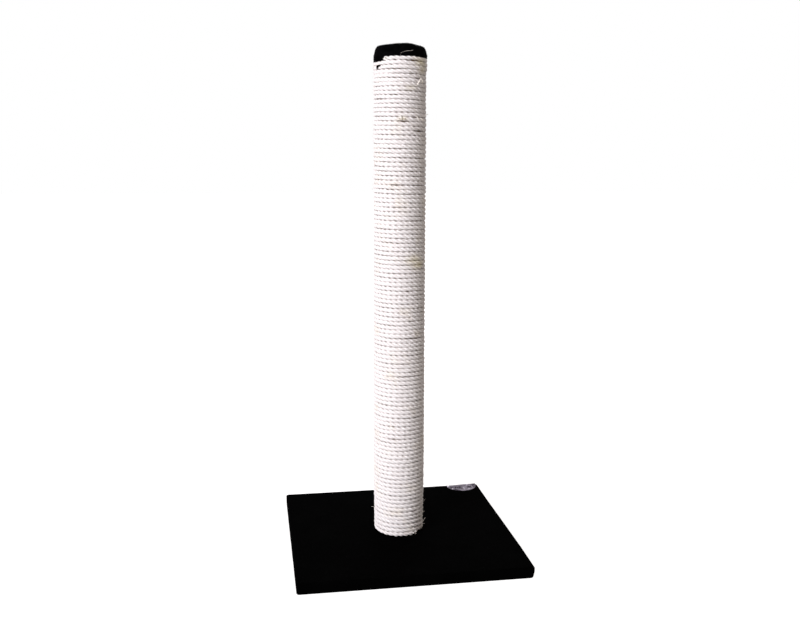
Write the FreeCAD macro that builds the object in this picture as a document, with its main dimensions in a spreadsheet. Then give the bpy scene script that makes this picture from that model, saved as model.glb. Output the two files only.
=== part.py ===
import FreeCAD, Part
import Sketcher
import math
import os

# A cat scratching post: a carpeted square base, a cardboard tube bolted upright on its middle, a
# plush cap on the tube's upper end, and rope wound round the tube from the cap down to the base.
#
# Millimetres. The origin is the middle of the base's underside, +Z is up, and the front is -Y.
# Angles go round the tube from +X towards +Y. The rope is wound left-handed: it falls as its angle
# grows. All fits below are worked out from the sizes in the sheet.

V = FreeCAD.Vector
UP = V(0, 0, 1)

doc = FreeCAD.newDocument("scratching_post")
sheet = doc.addObject("Spreadsheet::Sheet", "Sizes")

DRIVING_SIZES = [
    ("base_side", 400, "side of the square base over its carpet"),
    ("board_thickness", 16, "chipboard"),
    ("carpet_thickness", 2, "needle-felt carpet round the board"),
    ("carpet_edge_radius", 3, "outer rounding of the carpet at the board's edges"),
    ("hem_width", 35, "carpet turned under the board, from the base's side"),
    ("mitre_gap", 0.6, "slit between two hems at a corner"),
    ("hem_staples_per_side", 7, "staples along each hem"),
    ("staple_crown", 10, "length of a staple's crown"),
    ("staple_leg", 10, "length of a staple's legs"),
    ("staple_wire_width", 1.2, "flat staple wire, across"),
    ("staple_wire_thickness", 0.7, "flat staple wire, through"),
    ("staple_sink", 0.5, "depth of the crown below the carpet's face"),
    ("fastener_clearance", 0.1, "room round a nail's or staple's shank"),
    ("tube_diameter", 76, "outside of the cardboard tube"),
    ("tube_wall", 5, "wall of the cardboard tube"),
    ("tube_length", 860.5, "cardboard tube"),
    ("plug_clearance", 0.1, "radial room round a plug in the tube"),
    ("bottom_plug_length", 30, "wooden plug in the tube's lower end"),
    ("top_plug_length", 18, "wooden plug in the tube's upper end"),
    ("top_plug_proud", 6, "height of the upper plug above the tube"),
    ("bolt_diameter", 7.9, "M8 bolt, plain shank"),
    ("bolt_hole_diameter", 9, "hole for the bolt in board, carpet and plug"),
    ("bolt_head_flats", 13, "across the flats of the hexagon head"),
    ("bolt_head_height", 5.3, "hexagon head"),
    ("bolt_end_beyond_nut", 6, "bolt that stands out above the tee nut"),
    ("bolt_point", 1, "chamfer on the bolt's end"),
    ("washer_diameter", 24, "large washer"),
    ("washer_thickness", 2, "large washer"),
    ("counterbore_clearance", 1, "radial room round the washer in the board"),
    ("counterbore_depth", 8, "recess in the board's underside"),
    ("nut_bore_clearance", 0.05, "radial room of the bolt in the tee nut"),
    ("nut_barrel_diameter", 10, "tee nut's barrel"),
    ("nut_barrel_length", 12, "tee nut's barrel below its flange"),
    ("nut_flange_diameter", 22, "tee nut's flange"),
    ("nut_flange_thickness", 1.5, "tee nut's flange"),
    ("nut_prongs", 4, "prongs of the tee nut"),
    ("nut_prong_width", 3, "prong, along the flange's edge"),
    ("nut_prong_thickness", 1.2, "prong, across"),
    ("nut_prong_length", 7, "prong below the flange"),
    ("plug_nails_per_end", 4, "nails into each plug"),
    ("plug_nail_diameter", 1.8, "nail shank"),
    ("plug_nail_length", 22, "nail under its head"),
    ("plug_nail_head_diameter", 4, "nail head"),
    ("plug_nail_head_height", 0.8, "nail head"),
    ("bottom_nail_height", 15, "lower plug's nails above the tube's lower end"),
    ("top_nail_depth", 6, "upper plug's nails below the tube's upper end"),
    ("plug_nail_angle", 45, "first plug nail, degrees"),
    ("rope_diameter", 7.2, "lower rope"),
    ("upper_rope_diameter", 6.7, "upper rope"),
    ("rope_least_gap", 0.42, "between neighbouring turns"),
    ("rope_tube_clearance", 0.3, "between rope and tube"),
    ("rope_base_clearance", 0.3, "between the last turn and the base"),
    ("rope_top_gap", 12, "from the tube's upper end down to the winding's top"),
    ("rope_top_angle", -135, "upper rope's first end, degrees"),
    ("rope_join_angle", -94, "where the two ropes meet, degrees"),
    ("rope_bottom_angle", -54, "lower rope's last end, degrees"),
    ("upper_rope_whole_turns", 14, "whole turns above the join"),
    ("rope_join_gap", 2, "between the two ropes' ends"),
    ("lower_rope_lengths", 5, "equal modelled lengths of the lower rope"),
    ("rope_nail_diameter", 1.4, "nail shank"),
    ("rope_nail_head_diameter", 3.2, "nail head"),
    ("rope_nail_head_height", 0.8, "nail head"),
    ("rope_nail_sink", 0.4, "depth of the head's underside in the rope's crest"),
    ("rope_nail_point_cover", 1.2, "tube wall left beyond the nail's point"),
    ("plush_thickness", 4, "cap cloth over the plug"),
    ("cap_tube_clearance", 0.1, "between the cap and the tube"),
    ("cap_crown_inset", 7, "edge of the nearly flat top, inside the tube's outside"),
    ("cap_crown_fall", 0.9, "drop of the nearly flat top from its middle to its edge"),
    ("cap_shoulder_cover", 3.6, "cloth outside the tube's upper corner"),
    ("cap_shoulder_rise", 1.2, "height of the shoulder above the tube"),
    ("cap_crown_rounding", 14, "rounding between the top and the shoulder"),
    ("cap_shoulder_rounding", 12, "rounding between the shoulder and the skirt"),
    ("cap_skirt_cover", 7.4, "widest part of the gathered skirt, outside the tube"),
    ("cap_fold_cover", 5.6, "cap outside the tube where its folds start"),
    ("cap_fold_depth", 3.5, "from the tube's upper end down to where the folds start"),
    ("cap_bulge_rise", 3, "widest part of the skirt above the winding's top"),
    ("cap_skirt_overlap", 0.6, "height in which skirt and crown are one"),
    ("cap_pleats", 15, "gathers round the skirt"),
    ("cap_pleat_depth", 1.5, "depth of a gather at the skirt's lower edge"),
    ("cap_bulge_pleat_depth", 1.1, "depth of a gather where the skirt is widest"),
    ("cap_rope_clearance", 0.3, "between the skirt and the rope"),
    ("cap_staples_count", 6, "staples round the skirt"),
    ("cap_staple_rise", 3.5, "staples above the winding's top"),
    ("cap_staple_sink", 2, "depth of the crown below the skirt's outside"),
    ("label_diameter", 62, "round foil label before it is folded"),
    ("label_thickness", 0.3, "foil label"),
    ("label_gap", 0.05, "glue under the label"),
    ("label_side_inset", 2.5, "label's edge from the base's right side"),
    ("label_from_rear", 1, "label's middle from the base's rear side"),
    ("label_above_floor", 3, "lower end of the part folded down behind"),
]
for row, (alias, number, note) in enumerate(DRIVING_SIZES, start=1):
    sheet.set("A%d" % row, note)
    sheet.set("B%d" % row, str(number))
    sheet.setAlias("B%d" % row, alias)
doc.recompute()


def value(expression):
    """The number that an expression of the sheet's sizes gives."""
    result = sheet.evalExpression(expression)
    return float(getattr(result, "Value", result))


def size(alias):
    return value("Sizes." + alias)


# Sizes that follow from the driving ones, as expressions that objects are bound to.
BASE_TOP = "(Sizes.board_thickness + 2 * Sizes.carpet_thickness)"
BOARD_SIDE = "(Sizes.base_side - 2 * Sizes.carpet_thickness)"
TUBE_RADIUS = "(Sizes.tube_diameter / 2)"
TUBE_TOP = "(%s + Sizes.tube_length)" % BASE_TOP
PLUG_RADIUS = "(Sizes.tube_diameter / 2 - Sizes.tube_wall - Sizes.plug_clearance)"
PLUG_TOP = "(%s + Sizes.top_plug_proud)" % TUBE_TOP
BOTTOM_PLUG_TOP = "(%s + Sizes.bottom_plug_length)" % BASE_TOP
WASHER_BOTTOM = "(Sizes.carpet_thickness + Sizes.counterbore_depth - Sizes.washer_thickness)"
NUT_TOP = "(%s + Sizes.nut_flange_thickness)" % BOTTOM_PLUG_TOP
BOLT_END = "(%s + Sizes.bolt_end_beyond_nut)" % NUT_TOP
CAP_INNER_RADIUS = "(%s + Sizes.cap_tube_clearance)" % TUBE_RADIUS
CAP_TOP = "(%s + Sizes.plush_thickness)" % PLUG_TOP
CROWN_RADIUS = "(%s - Sizes.cap_crown_inset)" % TUBE_RADIUS
FOLD_RADIUS = "(%s + Sizes.cap_fold_cover)" % TUBE_RADIUS
FOLD_TOP = "(%s - Sizes.cap_fold_depth)" % TUBE_TOP
SKIRT_RADIUS = "(%s + Sizes.cap_skirt_cover)" % TUBE_RADIUS
ROPE_TOP = "(%s - Sizes.rope_top_gap)" % TUBE_TOP


# ---- ways of making a sub-part -------------------------------------------------------------------

def new_body(label):
    body = doc.addObject("PartDesign::Body", label + "_body")
    body.Label = label
    return body


def new_sketch(body, name, height="0", role="XY_Plane"):
    """A sketch on one of the body's own origin planes, raised by height along its normal."""
    sketch = body.newObject("Sketcher::SketchObject", name)
    plane = next(item for item in body.Origin.OriginFeatures if item.Role == role)
    sketch.AttachmentSupport = (plane, [""])
    sketch.MapMode = "FlatFace"
    sketch.setExpression("AttachmentOffset.Base.z", height)
    return sketch


def name_constraint(sketch, name, expression):
    sketch.renameConstraint(sketch.ConstraintCount - 1, name)
    sketch.setExpression("Constraints." + name, expression)


def add_circle(sketch, name, radius):
    """A circle about the sketch's origin."""
    index = sketch.addGeometry(Part.Circle(V(0, 0, 0), UP, value(radius)), False)
    sketch.addConstraint(Sketcher.Constraint("Coincident", index, 3, -1, 1))
    sketch.addConstraint(Sketcher.Constraint("Radius", index, value(radius)))
    name_constraint(sketch, name, radius)


def add_square(sketch, name, side):
    """A square about the sketch's origin."""
    half = value(side) / 2
    corners = [V(-half, -half, 0), V(half, -half, 0), V(half, half, 0), V(-half, half, 0)]
    for i in range(4):
        sketch.addGeometry(Part.LineSegment(corners[i], corners[(i + 1) % 4]), False)
    for i in range(4):
        sketch.addConstraint(Sketcher.Constraint("Coincident", i, 2, (i + 1) % 4, 1))
    sketch.addConstraint(Sketcher.Constraint("Horizontal", 0))
    sketch.addConstraint(Sketcher.Constraint("Horizontal", 2))
    sketch.addConstraint(Sketcher.Constraint("Vertical", 1))
    sketch.addConstraint(Sketcher.Constraint("Vertical", 3))
    sketch.addConstraint(Sketcher.Constraint("Symmetric", 0, 1, 1, 2, -1, 1))
    sketch.addConstraint(Sketcher.Constraint("Equal", 0, 1))
    sketch.addConstraint(Sketcher.Constraint("DistanceX", 0, 1, 0, 2, value(side)))
    name_constraint(sketch, name, side)


def add_polygon(sketch, corners):
    """A closed outline through named corners (name, x, y); an x of None lies on the Y axis."""
    points = [V(0 if x is None else value(x), value(y), 0) for _, x, y in corners]
    count = len(points)
    for i in range(count):
        sketch.addGeometry(Part.LineSegment(points[i], points[(i + 1) % count]), False)
    for i in range(count):
        sketch.addConstraint(Sketcher.Constraint("Coincident", i, 2, (i + 1) % count, 1))
    for i, (name, x, y) in enumerate(corners):
        if x is None:
            sketch.addConstraint(Sketcher.Constraint("PointOnObject", i, 1, -2))
        else:
            sketch.addConstraint(Sketcher.Constraint("DistanceX", -1, 1, i, 1, value(x)))
            name_constraint(sketch, name + "_x", x)
        sketch.addConstraint(Sketcher.Constraint("DistanceY", -1, 1, i, 1, value(y)))
        name_constraint(sketch, name + "_y", y)


def pad(body, sketch, name, length):
    feature = body.newObject("PartDesign::Pad", name)
    feature.Profile = sketch
    feature.setExpression("Length", length)
    doc.recompute()
    return feature


def pocket(body, sketch, name, depth, upwards=False):
    """A pocket below its sketch, or above it. It has to take something away."""
    before = body.Shape.Volume
    feature = body.newObject("PartDesign::Pocket", name)
    feature.Profile = sketch
    feature.Reversed = upwards
    feature.setExpression("Length", depth)
    doc.recompute()
    if not body.Shape.Volume < before - 1e-6:
        raise RuntimeError("%s cuts nothing" % name)
    return feature


def fillet(body, name, edges, radius):
    """Rounds the named edges of the body as it stands."""
    base = body.Tip
    feature = body.newObject("PartDesign::Fillet", name)
    feature.Base = (base, edges)
    feature.setExpression("Radius", radius)
    doc.recompute()
    return feature


def round_pocket(body, name, radius, height, depth, upwards=False):
    sketch = new_sketch(body, name + "_sketch", height)
    add_circle(sketch, "radius", radius)
    return pocket(body, sketch, name, depth, upwards)


def feature_of(label, shape):
    """A document object that holds a shape made from the sheet's sizes."""
    item = doc.addObject("Part::Feature", label)
    item.Label = label
    item.Shape = shape
    return item


def cut(label, base, tools):
    """base without the tools, which are holes and slots that don't touch one another."""
    item = doc.addObject("Part::Cut", label + "_cut")
    item.Label = label
    item.Base = base
    item.Tool = tools
    doc.recompute()
    return item


def cylinder(name, radius, height, z):
    item = doc.addObject("Part::Cylinder", name)
    item.setExpression("Radius", radius)
    item.setExpression("Height", height)
    item.setExpression("Placement.Base.z", z)
    return item


# ---- fasteners: one shape, set at many places, and the hole that it needs -------------------------

def staple(extra=0.0):
    """A staple whose legs point along +Z, its crown's outer face on z = 0 and along X. extra
    thickens it to the space that it lies in."""
    crown = size("staple_crown")
    wire = size("staple_wire_thickness")
    across = size("staple_wire_width") + 2 * extra
    bar = Part.makeBox(crown + 2 * extra, across, wire + extra,
                       V(-crown / 2 - extra, -across / 2, 0))
    legs = [Part.makeBox(wire + 2 * extra, across, size("staple_leg") + extra,
                         V(x - extra, -across / 2, 0))
            for x in (-crown / 2, crown / 2 - wire)]
    return bar.fuse(legs).removeSplitter()


def staple_hole(sink):
    """The slot for a staple, open through the sink behind its crown."""
    room = size("fastener_clearance")
    crown = size("staple_crown") + 2 * room
    across = size("staple_wire_width") + 2 * room
    mouth = Part.makeBox(crown, across, sink + size("staple_wire_thickness") / 2,
                         V(-crown / 2, -across / 2, -sink))
    return staple(room).fuse(mouth).removeSplitter()


def nail(shank_diameter, length, head_diameter, head_height, extra=0.0):
    """A nail along +Z, the underside of its head on z = 0. extra makes it into its hole."""
    shank = Part.makeCylinder(shank_diameter / 2 + extra, length + extra)
    head = Part.makeCylinder(head_diameter / 2 + extra, head_height, V(0, 0, -head_height))
    return head.fuse(shank).removeSplitter()


def plug_nail(extra=0.0):
    return nail(size("plug_nail_diameter"), size("plug_nail_length"),
                size("plug_nail_head_diameter"), size("plug_nail_head_height"), extra)


def rope_nail(length, extra=0.0):
    return nail(size("rope_nail_diameter"), length,
                size("rope_nail_head_diameter"), size("rope_nail_head_height"), extra)


def placed(shape, places):
    copies = []
    for place in places:
        copy = shape.copy()
        copy.Placement = place
        copies.append(copy)
    return Part.makeCompound(copies)


def inward(angle, radius, z, sideways=0.0):
    """A place on a circle round the tube, its own Z towards the axis and its own X along the
    circle; sideways moves it along the circle's tangent."""
    out = V(math.cos(angle), math.sin(angle), 0)
    along = V(-math.sin(angle), math.cos(angle), 0)
    turn = FreeCAD.Rotation(along, UP * -1, out * -1, "ZXY")
    return FreeCAD.Placement(out * radius + along * sideways + V(0, 0, z), turn)


# ---- where the fasteners go ----------------------------------------------------------------------

def hem_staple_places():
    """Along the four hems, halfway between the board's side and the hem's inner edge."""
    per_side = int(round(size("hem_staples_per_side")))
    inset = (size("hem_width") + size("carpet_thickness")) / 2
    line = size("base_side") / 2 - inset
    step = 2 * (size("base_side") / 2 - size("hem_width")) / per_side
    places = []
    for side in range(4):
        turn = FreeCAD.Rotation(UP, 90 * side)
        for i in range(per_side):
            x = (i - (per_side - 1) / 2) * step
            places.append(FreeCAD.Placement(turn.multVec(V(x, -line, size("staple_sink"))), turn))
    return places


def plug_nail_places(z):
    count = int(round(size("plug_nails_per_end")))
    radius = value(TUBE_RADIUS) - size("plug_nail_head_height")
    first = math.radians(size("plug_nail_angle"))
    return [inward(first + 2 * math.pi * i / count, radius, z) for i in range(count)]


def cap_staple_places():
    count = int(round(size("cap_staples_count")))
    radius = value(SKIRT_RADIUS) - size("cap_staple_sink")
    z = value(ROPE_TOP) + size("cap_staple_rise")
    return [inward(2 * math.pi * i / count, radius, z) for i in range(count)]


# ---- the rope's path -----------------------------------------------------------------------------

class Helix:
    """A left-handed helix about the post: z falls evenly as the angle grows."""

    def __init__(self, radius, pitch, start_angle, start_z):
        self.radius = radius
        self.fall = pitch / (2 * math.pi)
        self.start_angle = start_angle
        self.start_z = start_z

    def point(self, angle):
        return V(self.radius * math.cos(angle), self.radius * math.sin(angle),
                 self.start_z - self.fall * (angle - self.start_angle))

    def tangent(self, angle):
        way = V(-self.radius * math.sin(angle), self.radius * math.cos(angle), -self.fall)
        return way.normalize()


def arc_from(start, tangent, end):
    """The arc that leaves start along tangent and ends at end."""
    chord = end - start
    across = chord - tangent * chord.dot(tangent)
    across.normalize()
    radius = chord.dot(chord) / (2 * chord.dot(across))
    centre = start + across * radius
    middle = (start + end) * 0.5 - centre
    return Part.Arc(start, centre + middle.normalize() * radius, end)


def biarc(start, start_tangent, end, end_tangent):
    """Two arcs that meet smoothly and follow both tangents."""
    chord = end - start
    tangents = start_tangent + end_tangent
    a = 2 * (1 - start_tangent.dot(end_tangent))
    b = 2 * chord.dot(tangents)
    c = -chord.dot(chord)
    reach = (-b + math.sqrt(b * b - 4 * a * c)) / (2 * a)
    first = start + start_tangent * reach
    second = end - end_tangent * reach
    middle = (first + second) * 0.5
    way = (second - first).normalize()
    return [arc_from(start, start_tangent, middle), arc_from(middle, way, end)]


def wound_tube(helix, first_angle, last_angle, diameter, straight_start, straight_end):
    """A rope's solid and its path, wound from first_angle to last_angle. A cut end runs straight
    for one diameter."""
    steps = max(1, round((last_angle - first_angle) / math.pi))
    step = (last_angle - first_angle) / steps
    start, start_way = helix.point(first_angle), helix.tangent(first_angle)
    end, end_way = helix.point(last_angle), helix.tangent(last_angle)
    curves = []
    mouth = start
    if straight_start:
        mouth = start - start_way * diameter
        curves.append(Part.LineSegment(mouth, start))
    for i in range(steps):
        a = first_angle + i * step
        curves += biarc(helix.point(a), helix.tangent(a),
                        helix.point(a + step), helix.tangent(a + step))
    if straight_end:
        curves.append(Part.LineSegment(end, end + end_way * diameter))
    path = Part.Wire([curve.toShape() for curve in curves])
    section = Part.Wire([Part.Circle(mouth, start_way, diameter / 2).toShape()])
    return path.makePipeShell([section], True, False), path


def least_gap(path, diameter, radius):
    """The least gap between one turn and the next, measured on points along the path."""
    points_per_turn = 360
    reach = 6
    count = int(points_per_turn * path.Length / (2 * math.pi * radius))
    points = path.discretize(Number=count)
    nearest = min(points[i].distanceToPoint(points[j])
                  for i in range(count - points_per_turn)
                  for j in range(i + points_per_turn - reach,
                                 min(i + points_per_turn + reach + 1, count)))
    return nearest - diameter


ROPE_INSIDE = "(%s + Sizes.rope_tube_clearance)" % TUBE_RADIUS
upper_diameter = size("upper_rope_diameter")
lower_diameter = size("rope_diameter")
upper_radius = value(ROPE_INSIDE) + upper_diameter / 2
lower_radius = value(ROPE_INSIDE) + lower_diameter / 2
upper_pitch = upper_diameter + size("rope_least_gap")
least_lower_pitch = lower_diameter + size("rope_least_gap")
join_angle = math.radians(size("rope_join_angle"))

# The upper rope starts at the cap and stops short of the join.
upper_first = math.radians(size("rope_top_angle")) + math.atan(upper_diameter / upper_radius)
upper_last = (join_angle + 2 * math.pi * round(size("upper_rope_whole_turns"))
              - math.atan(upper_diameter / upper_radius)
              - size("rope_join_gap") / 2 / upper_radius)
upper_end_fall = upper_diameter * upper_pitch / math.hypot(2 * math.pi * upper_radius, upper_pitch)
upper_helix = Helix(upper_radius, upper_pitch, upper_first,
                    value(ROPE_TOP) - upper_diameter / 2 - upper_end_fall)
join_z = upper_helix.point(upper_last).z - upper_end_fall

# The lower rope starts beside it and ends on the base. Its pitch takes up what whole turns leave.
lower_end_fall = (lower_diameter * least_lower_pitch
                  / math.hypot(2 * math.pi * lower_radius, least_lower_pitch))
lower_first = (join_angle + math.atan(lower_diameter / lower_radius)
               + size("rope_join_gap") / 2 / lower_radius)
lower_first_z = join_z - (lower_diameter - upper_diameter) / 2 - lower_end_fall
lower_last_z = (value(BASE_TOP) + size("rope_base_clearance") + lower_diameter / 2
                + lower_end_fall)
part_turn = (math.radians(size("rope_bottom_angle")) - math.atan(lower_diameter / lower_radius)
             - lower_first) / (2 * math.pi)
whole_turns = math.floor((lower_first_z - lower_last_z) / least_lower_pitch - part_turn)
lower_turns = whole_turns + part_turn
lower_last = lower_first + 2 * math.pi * lower_turns
lower_helix = Helix(lower_radius, (lower_first_z - lower_last_z) / lower_turns,
                    lower_first, lower_first_z)
lower_lengths = int(round(size("lower_rope_lengths")))


def rope_end_nail_place(helix, angle, diameter, side):
    """Where a nail holds a rope's straight end: side is -1 at its start and 1 at its finish."""
    way = helix.tangent(angle) * (side * diameter / 2)
    sideways = side * math.hypot(way.x, way.y)
    return inward(angle, helix.radius + diameter / 2 - size("rope_nail_sink"),
                  helix.point(angle).z + way.z, sideways)


ROPE_ENDS = [
    (upper_helix, upper_first, upper_diameter, -1),
    (upper_helix, upper_last, upper_diameter, 1),
    (lower_helix, lower_first, lower_diameter, -1),
    (lower_helix, lower_last, lower_diameter, 1),
]


def rope_nails(extra=0.0):
    nails = []
    for helix, angle, diameter, side in ROPE_ENDS:
        point_radius = value(TUBE_RADIUS) - size("tube_wall") + size("rope_nail_point_cover")
        length = helix.radius + diameter / 2 - size("rope_nail_sink") - point_radius
        nails += placed(rope_nail(length, extra),
                        [rope_end_nail_place(helix, angle, diameter, side)]).Solids
    return Part.makeCompound(nails)


# ---- sub-parts -----------------------------------------------------------------------------------

parts = []


def sub_part(item):
    parts.append(item)
    return item


def make_base_board():
    body = new_body("board_blank")
    sketch = new_sketch(body, "board_outline", "Sizes.carpet_thickness")
    add_square(sketch, "side", BOARD_SIDE)
    pad(body, sketch, "board", "Sizes.board_thickness")
    round_pocket(body, "counterbore", "Sizes.washer_diameter / 2 + Sizes.counterbore_clearance",
                 "Sizes.carpet_thickness", "Sizes.counterbore_depth", upwards=True)
    round_pocket(body, "board_bolt_hole", "Sizes.bolt_hole_diameter / 2",
                 "Sizes.carpet_thickness + Sizes.counterbore_depth",
                 "Sizes.board_thickness - Sizes.counterbore_depth", upwards=True)
    holes = feature_of("board_staple_holes",
                       placed(staple_hole(size("staple_sink")), hem_staple_places()))
    return sub_part(cut("base_board", body, holes))


def hem_mitres():
    """Slits through the hem along the four diagonals."""
    inner = math.sqrt(2) * (size("base_side") / 2 - size("hem_width")) - size("mitre_gap")
    outer = math.sqrt(2) * (size("base_side") / 2 - size("carpet_edge_radius"))
    slit = Part.makeBox(outer - inner, size("mitre_gap"), 2 * size("carpet_thickness"),
                        V(inner, -size("mitre_gap") / 2, -size("carpet_thickness")))
    return [FreeCAD.Placement(V(0, 0, 0), FreeCAD.Rotation(UP, 45 + 90 * i)) for i in range(4)], slit


def make_base_carpet():
    body = new_body("carpet_blank")
    sketch = new_sketch(body, "carpet_outline")
    add_square(sketch, "side", "Sizes.base_side")
    pad(body, sketch, "carpet_slab", BASE_TOP)
    fillet(body, "carpet_rounding", ["Edge%d" % (i + 1) for i in range(len(body.Shape.Edges))],
           "Sizes.carpet_edge_radius")
    cavity = body.newObject("PartDesign::SubtractiveBox", "board_space")
    cavity.setExpression("Length", BOARD_SIDE)
    cavity.setExpression("Width", BOARD_SIDE)
    cavity.setExpression("Height", "Sizes.board_thickness")
    cavity.setExpression("Placement.Base.x", "-%s / 2" % BOARD_SIDE)
    cavity.setExpression("Placement.Base.y", "-%s / 2" % BOARD_SIDE)
    cavity.setExpression("Placement.Base.z", "Sizes.carpet_thickness")
    doc.recompute()
    window = new_sketch(body, "hem_window_outline")
    add_square(window, "side", "Sizes.base_side - 2 * Sizes.hem_width")
    pocket(body, window, "hem_window", "Sizes.carpet_thickness", upwards=True)
    round_pocket(body, "carpet_bolt_hole", "Sizes.bolt_hole_diameter / 2", BASE_TOP,
                 "Sizes.carpet_thickness")
    mitre_places, slit = hem_mitres()
    slots = placed(staple_hole(size("staple_sink")), hem_staple_places()).Solids
    slots += placed(slit, mitre_places).Solids
    tools = feature_of("carpet_slots", Part.makeCompound(slots))
    return sub_part(cut("base_carpet", body, tools))


def make_carpet_staples():
    return sub_part(feature_of("carpet_staples", placed(staple(), hem_staple_places())))


def make_base_bolt():
    head = doc.addObject("Part::Prism", "bolt_head")
    head.Polygon = 6
    head.setExpression("Circumradius", "Sizes.bolt_head_flats / sqrt(3)")
    head.setExpression("Height", "Sizes.bolt_head_height")
    head.setExpression("Placement.Base.z", WASHER_BOTTOM + " - Sizes.bolt_head_height")
    shank = cylinder("bolt_shank", "Sizes.bolt_diameter / 2",
                     "%s - %s - Sizes.bolt_point" % (BOLT_END, WASHER_BOTTOM), WASHER_BOTTOM)
    point = doc.addObject("Part::Cone", "bolt_point")
    point.setExpression("Radius1", "Sizes.bolt_diameter / 2")
    point.setExpression("Radius2", "Sizes.bolt_diameter / 2 - Sizes.bolt_point")
    point.setExpression("Height", "Sizes.bolt_point")
    point.setExpression("Placement.Base.z", BOLT_END + " - Sizes.bolt_point")
    bolt = doc.addObject("Part::MultiFuse", "base_bolt")
    bolt.Shapes = [head, shank, point]
    return sub_part(bolt)


def make_base_washer():
    disc = cylinder("washer_disc", "Sizes.washer_diameter / 2", "Sizes.washer_thickness",
                    WASHER_BOTTOM)
    hole = cylinder("washer_hole", "Sizes.bolt_hole_diameter / 2", "Sizes.washer_thickness",
                    WASHER_BOTTOM)
    return sub_part(cut("base_washer", disc, hole))


def prongs(extra=0.0):
    """The tee nut's prongs, at the edge of its flange, from the flange down."""
    count = int(round(size("nut_prongs")))
    across = size("nut_prong_thickness") + 2 * extra
    width = size("nut_prong_width") + 2 * extra
    length = size("nut_prong_length") + extra
    outer = size("nut_flange_diameter") / 2 * math.cos(size("nut_prong_width")
                                                       / size("nut_flange_diameter"))
    prong = Part.makeBox(across, width, length,
                         V(outer + extra - across, -width / 2, value(BOTTOM_PLUG_TOP) - length))
    turns = [FreeCAD.Rotation(UP, 360 * i / count) for i in range(count)]
    return placed(prong, [FreeCAD.Placement(V(0, 0, 0), turn) for turn in turns])


def make_tee_nut():
    flange = cylinder("nut_flange", "Sizes.nut_flange_diameter / 2", "Sizes.nut_flange_thickness",
                      BOTTOM_PLUG_TOP)
    barrel = cylinder("nut_barrel", "Sizes.nut_barrel_diameter / 2",
                      "Sizes.nut_barrel_length + Sizes.nut_flange_thickness / 2",
                      BOTTOM_PLUG_TOP + " - Sizes.nut_barrel_length")
    solid = doc.addObject("Part::MultiFuse", "nut_solid")
    solid.Shapes = [flange, barrel, feature_of("nut_prongs", prongs())]
    bore = cylinder("nut_bore", "Sizes.bolt_diameter / 2 + Sizes.nut_bore_clearance",
                    "Sizes.nut_barrel_length + Sizes.nut_flange_thickness",
                    BOTTOM_PLUG_TOP + " - Sizes.nut_barrel_length")
    return sub_part(cut("tee_nut", solid, bore))


def make_bottom_plug():
    body = new_body("bottom_plug_blank")
    sketch = new_sketch(body, "bottom_plug_outline", BASE_TOP)
    add_circle(sketch, "radius", PLUG_RADIUS)
    pad(body, sketch, "bottom_plug_disc", "Sizes.bottom_plug_length")
    round_pocket(body, "plug_bolt_hole", "Sizes.bolt_hole_diameter / 2", BOTTOM_PLUG_TOP,
                 "Sizes.bottom_plug_length")
    round_pocket(body, "nut_seat", "Sizes.nut_barrel_diameter / 2 + Sizes.fastener_clearance",
                 BOTTOM_PLUG_TOP, "Sizes.nut_barrel_length + Sizes.fastener_clearance")
    nails = placed(plug_nail(size("fastener_clearance")), bottom_nail_places())
    tools = nails.Solids + prongs(size("fastener_clearance")).Solids
    return sub_part(cut("bottom_plug", body,
                        feature_of("bottom_plug_holes", Part.makeCompound(tools))))


def make_top_plug():
    body = new_body("top_plug_blank")
    sketch = new_sketch(body, "top_plug_outline", PLUG_TOP + " - Sizes.top_plug_length")
    add_circle(sketch, "radius", PLUG_RADIUS)
    pad(body, sketch, "top_plug_disc", "Sizes.top_plug_length")
    nails = placed(plug_nail(size("fastener_clearance")), top_nail_places())
    return sub_part(cut("top_plug", body, feature_of("top_plug_holes", nails)))


def bottom_nail_places():
    return plug_nail_places(value(BASE_TOP) + size("bottom_nail_height"))


def top_nail_places():
    return plug_nail_places(value(TUBE_TOP) - size("top_nail_depth"))


def make_plug_nails():
    sub_part(feature_of("bottom_plug_nails", placed(plug_nail(), bottom_nail_places())))
    sub_part(feature_of("top_plug_nails", placed(plug_nail(), top_nail_places())))


def make_post_tube():
    body = new_body("tube_blank")
    sketch = new_sketch(body, "tube_outline", BASE_TOP)
    add_circle(sketch, "outside", TUBE_RADIUS)
    inside = sketch.addGeometry(Part.Circle(V(0, 0, 0), UP, value(PLUG_RADIUS)), False)
    sketch.addConstraint(Sketcher.Constraint("Coincident", inside, 3, -1, 1))
    sketch.addConstraint(Sketcher.Constraint("Radius", inside, value(PLUG_RADIUS)))
    name_constraint(sketch, "inside", TUBE_RADIUS + " - Sizes.tube_wall")
    pad(body, sketch, "tube", "Sizes.tube_length")
    room = size("fastener_clearance")
    tools = placed(plug_nail(room), bottom_nail_places() + top_nail_places()).Solids
    tools += rope_nails(room).Solids
    tools += placed(staple_hole(size("cap_staple_sink")), cap_staple_places()).Solids
    return sub_part(cut("post_tube", body, feature_of("tube_holes", Part.makeCompound(tools))))


def make_ropes():
    room = rope_nails(size("fastener_clearance"))
    solid, path = wound_tube(upper_helix, upper_first, upper_last, upper_diameter, True, True)
    report_rope("rope_upper", solid, path, upper_diameter, upper_radius)
    sub_part(feature_of("rope_upper", solid.cut(room)))
    share = (lower_last - lower_first) / lower_lengths
    for i in range(lower_lengths):
        first = lower_first + i * share
        name = "rope_lower_%d" % (i + 1)
        is_first, is_last = i == 0, i == lower_lengths - 1
        solid, path = wound_tube(lower_helix, first, first + share, lower_diameter,
                                 is_first, is_last)
        report_rope(name, solid, path, lower_diameter, lower_radius)
        if is_first or is_last:
            solid = solid.cut(room)
        sub_part(feature_of(name, solid))


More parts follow.
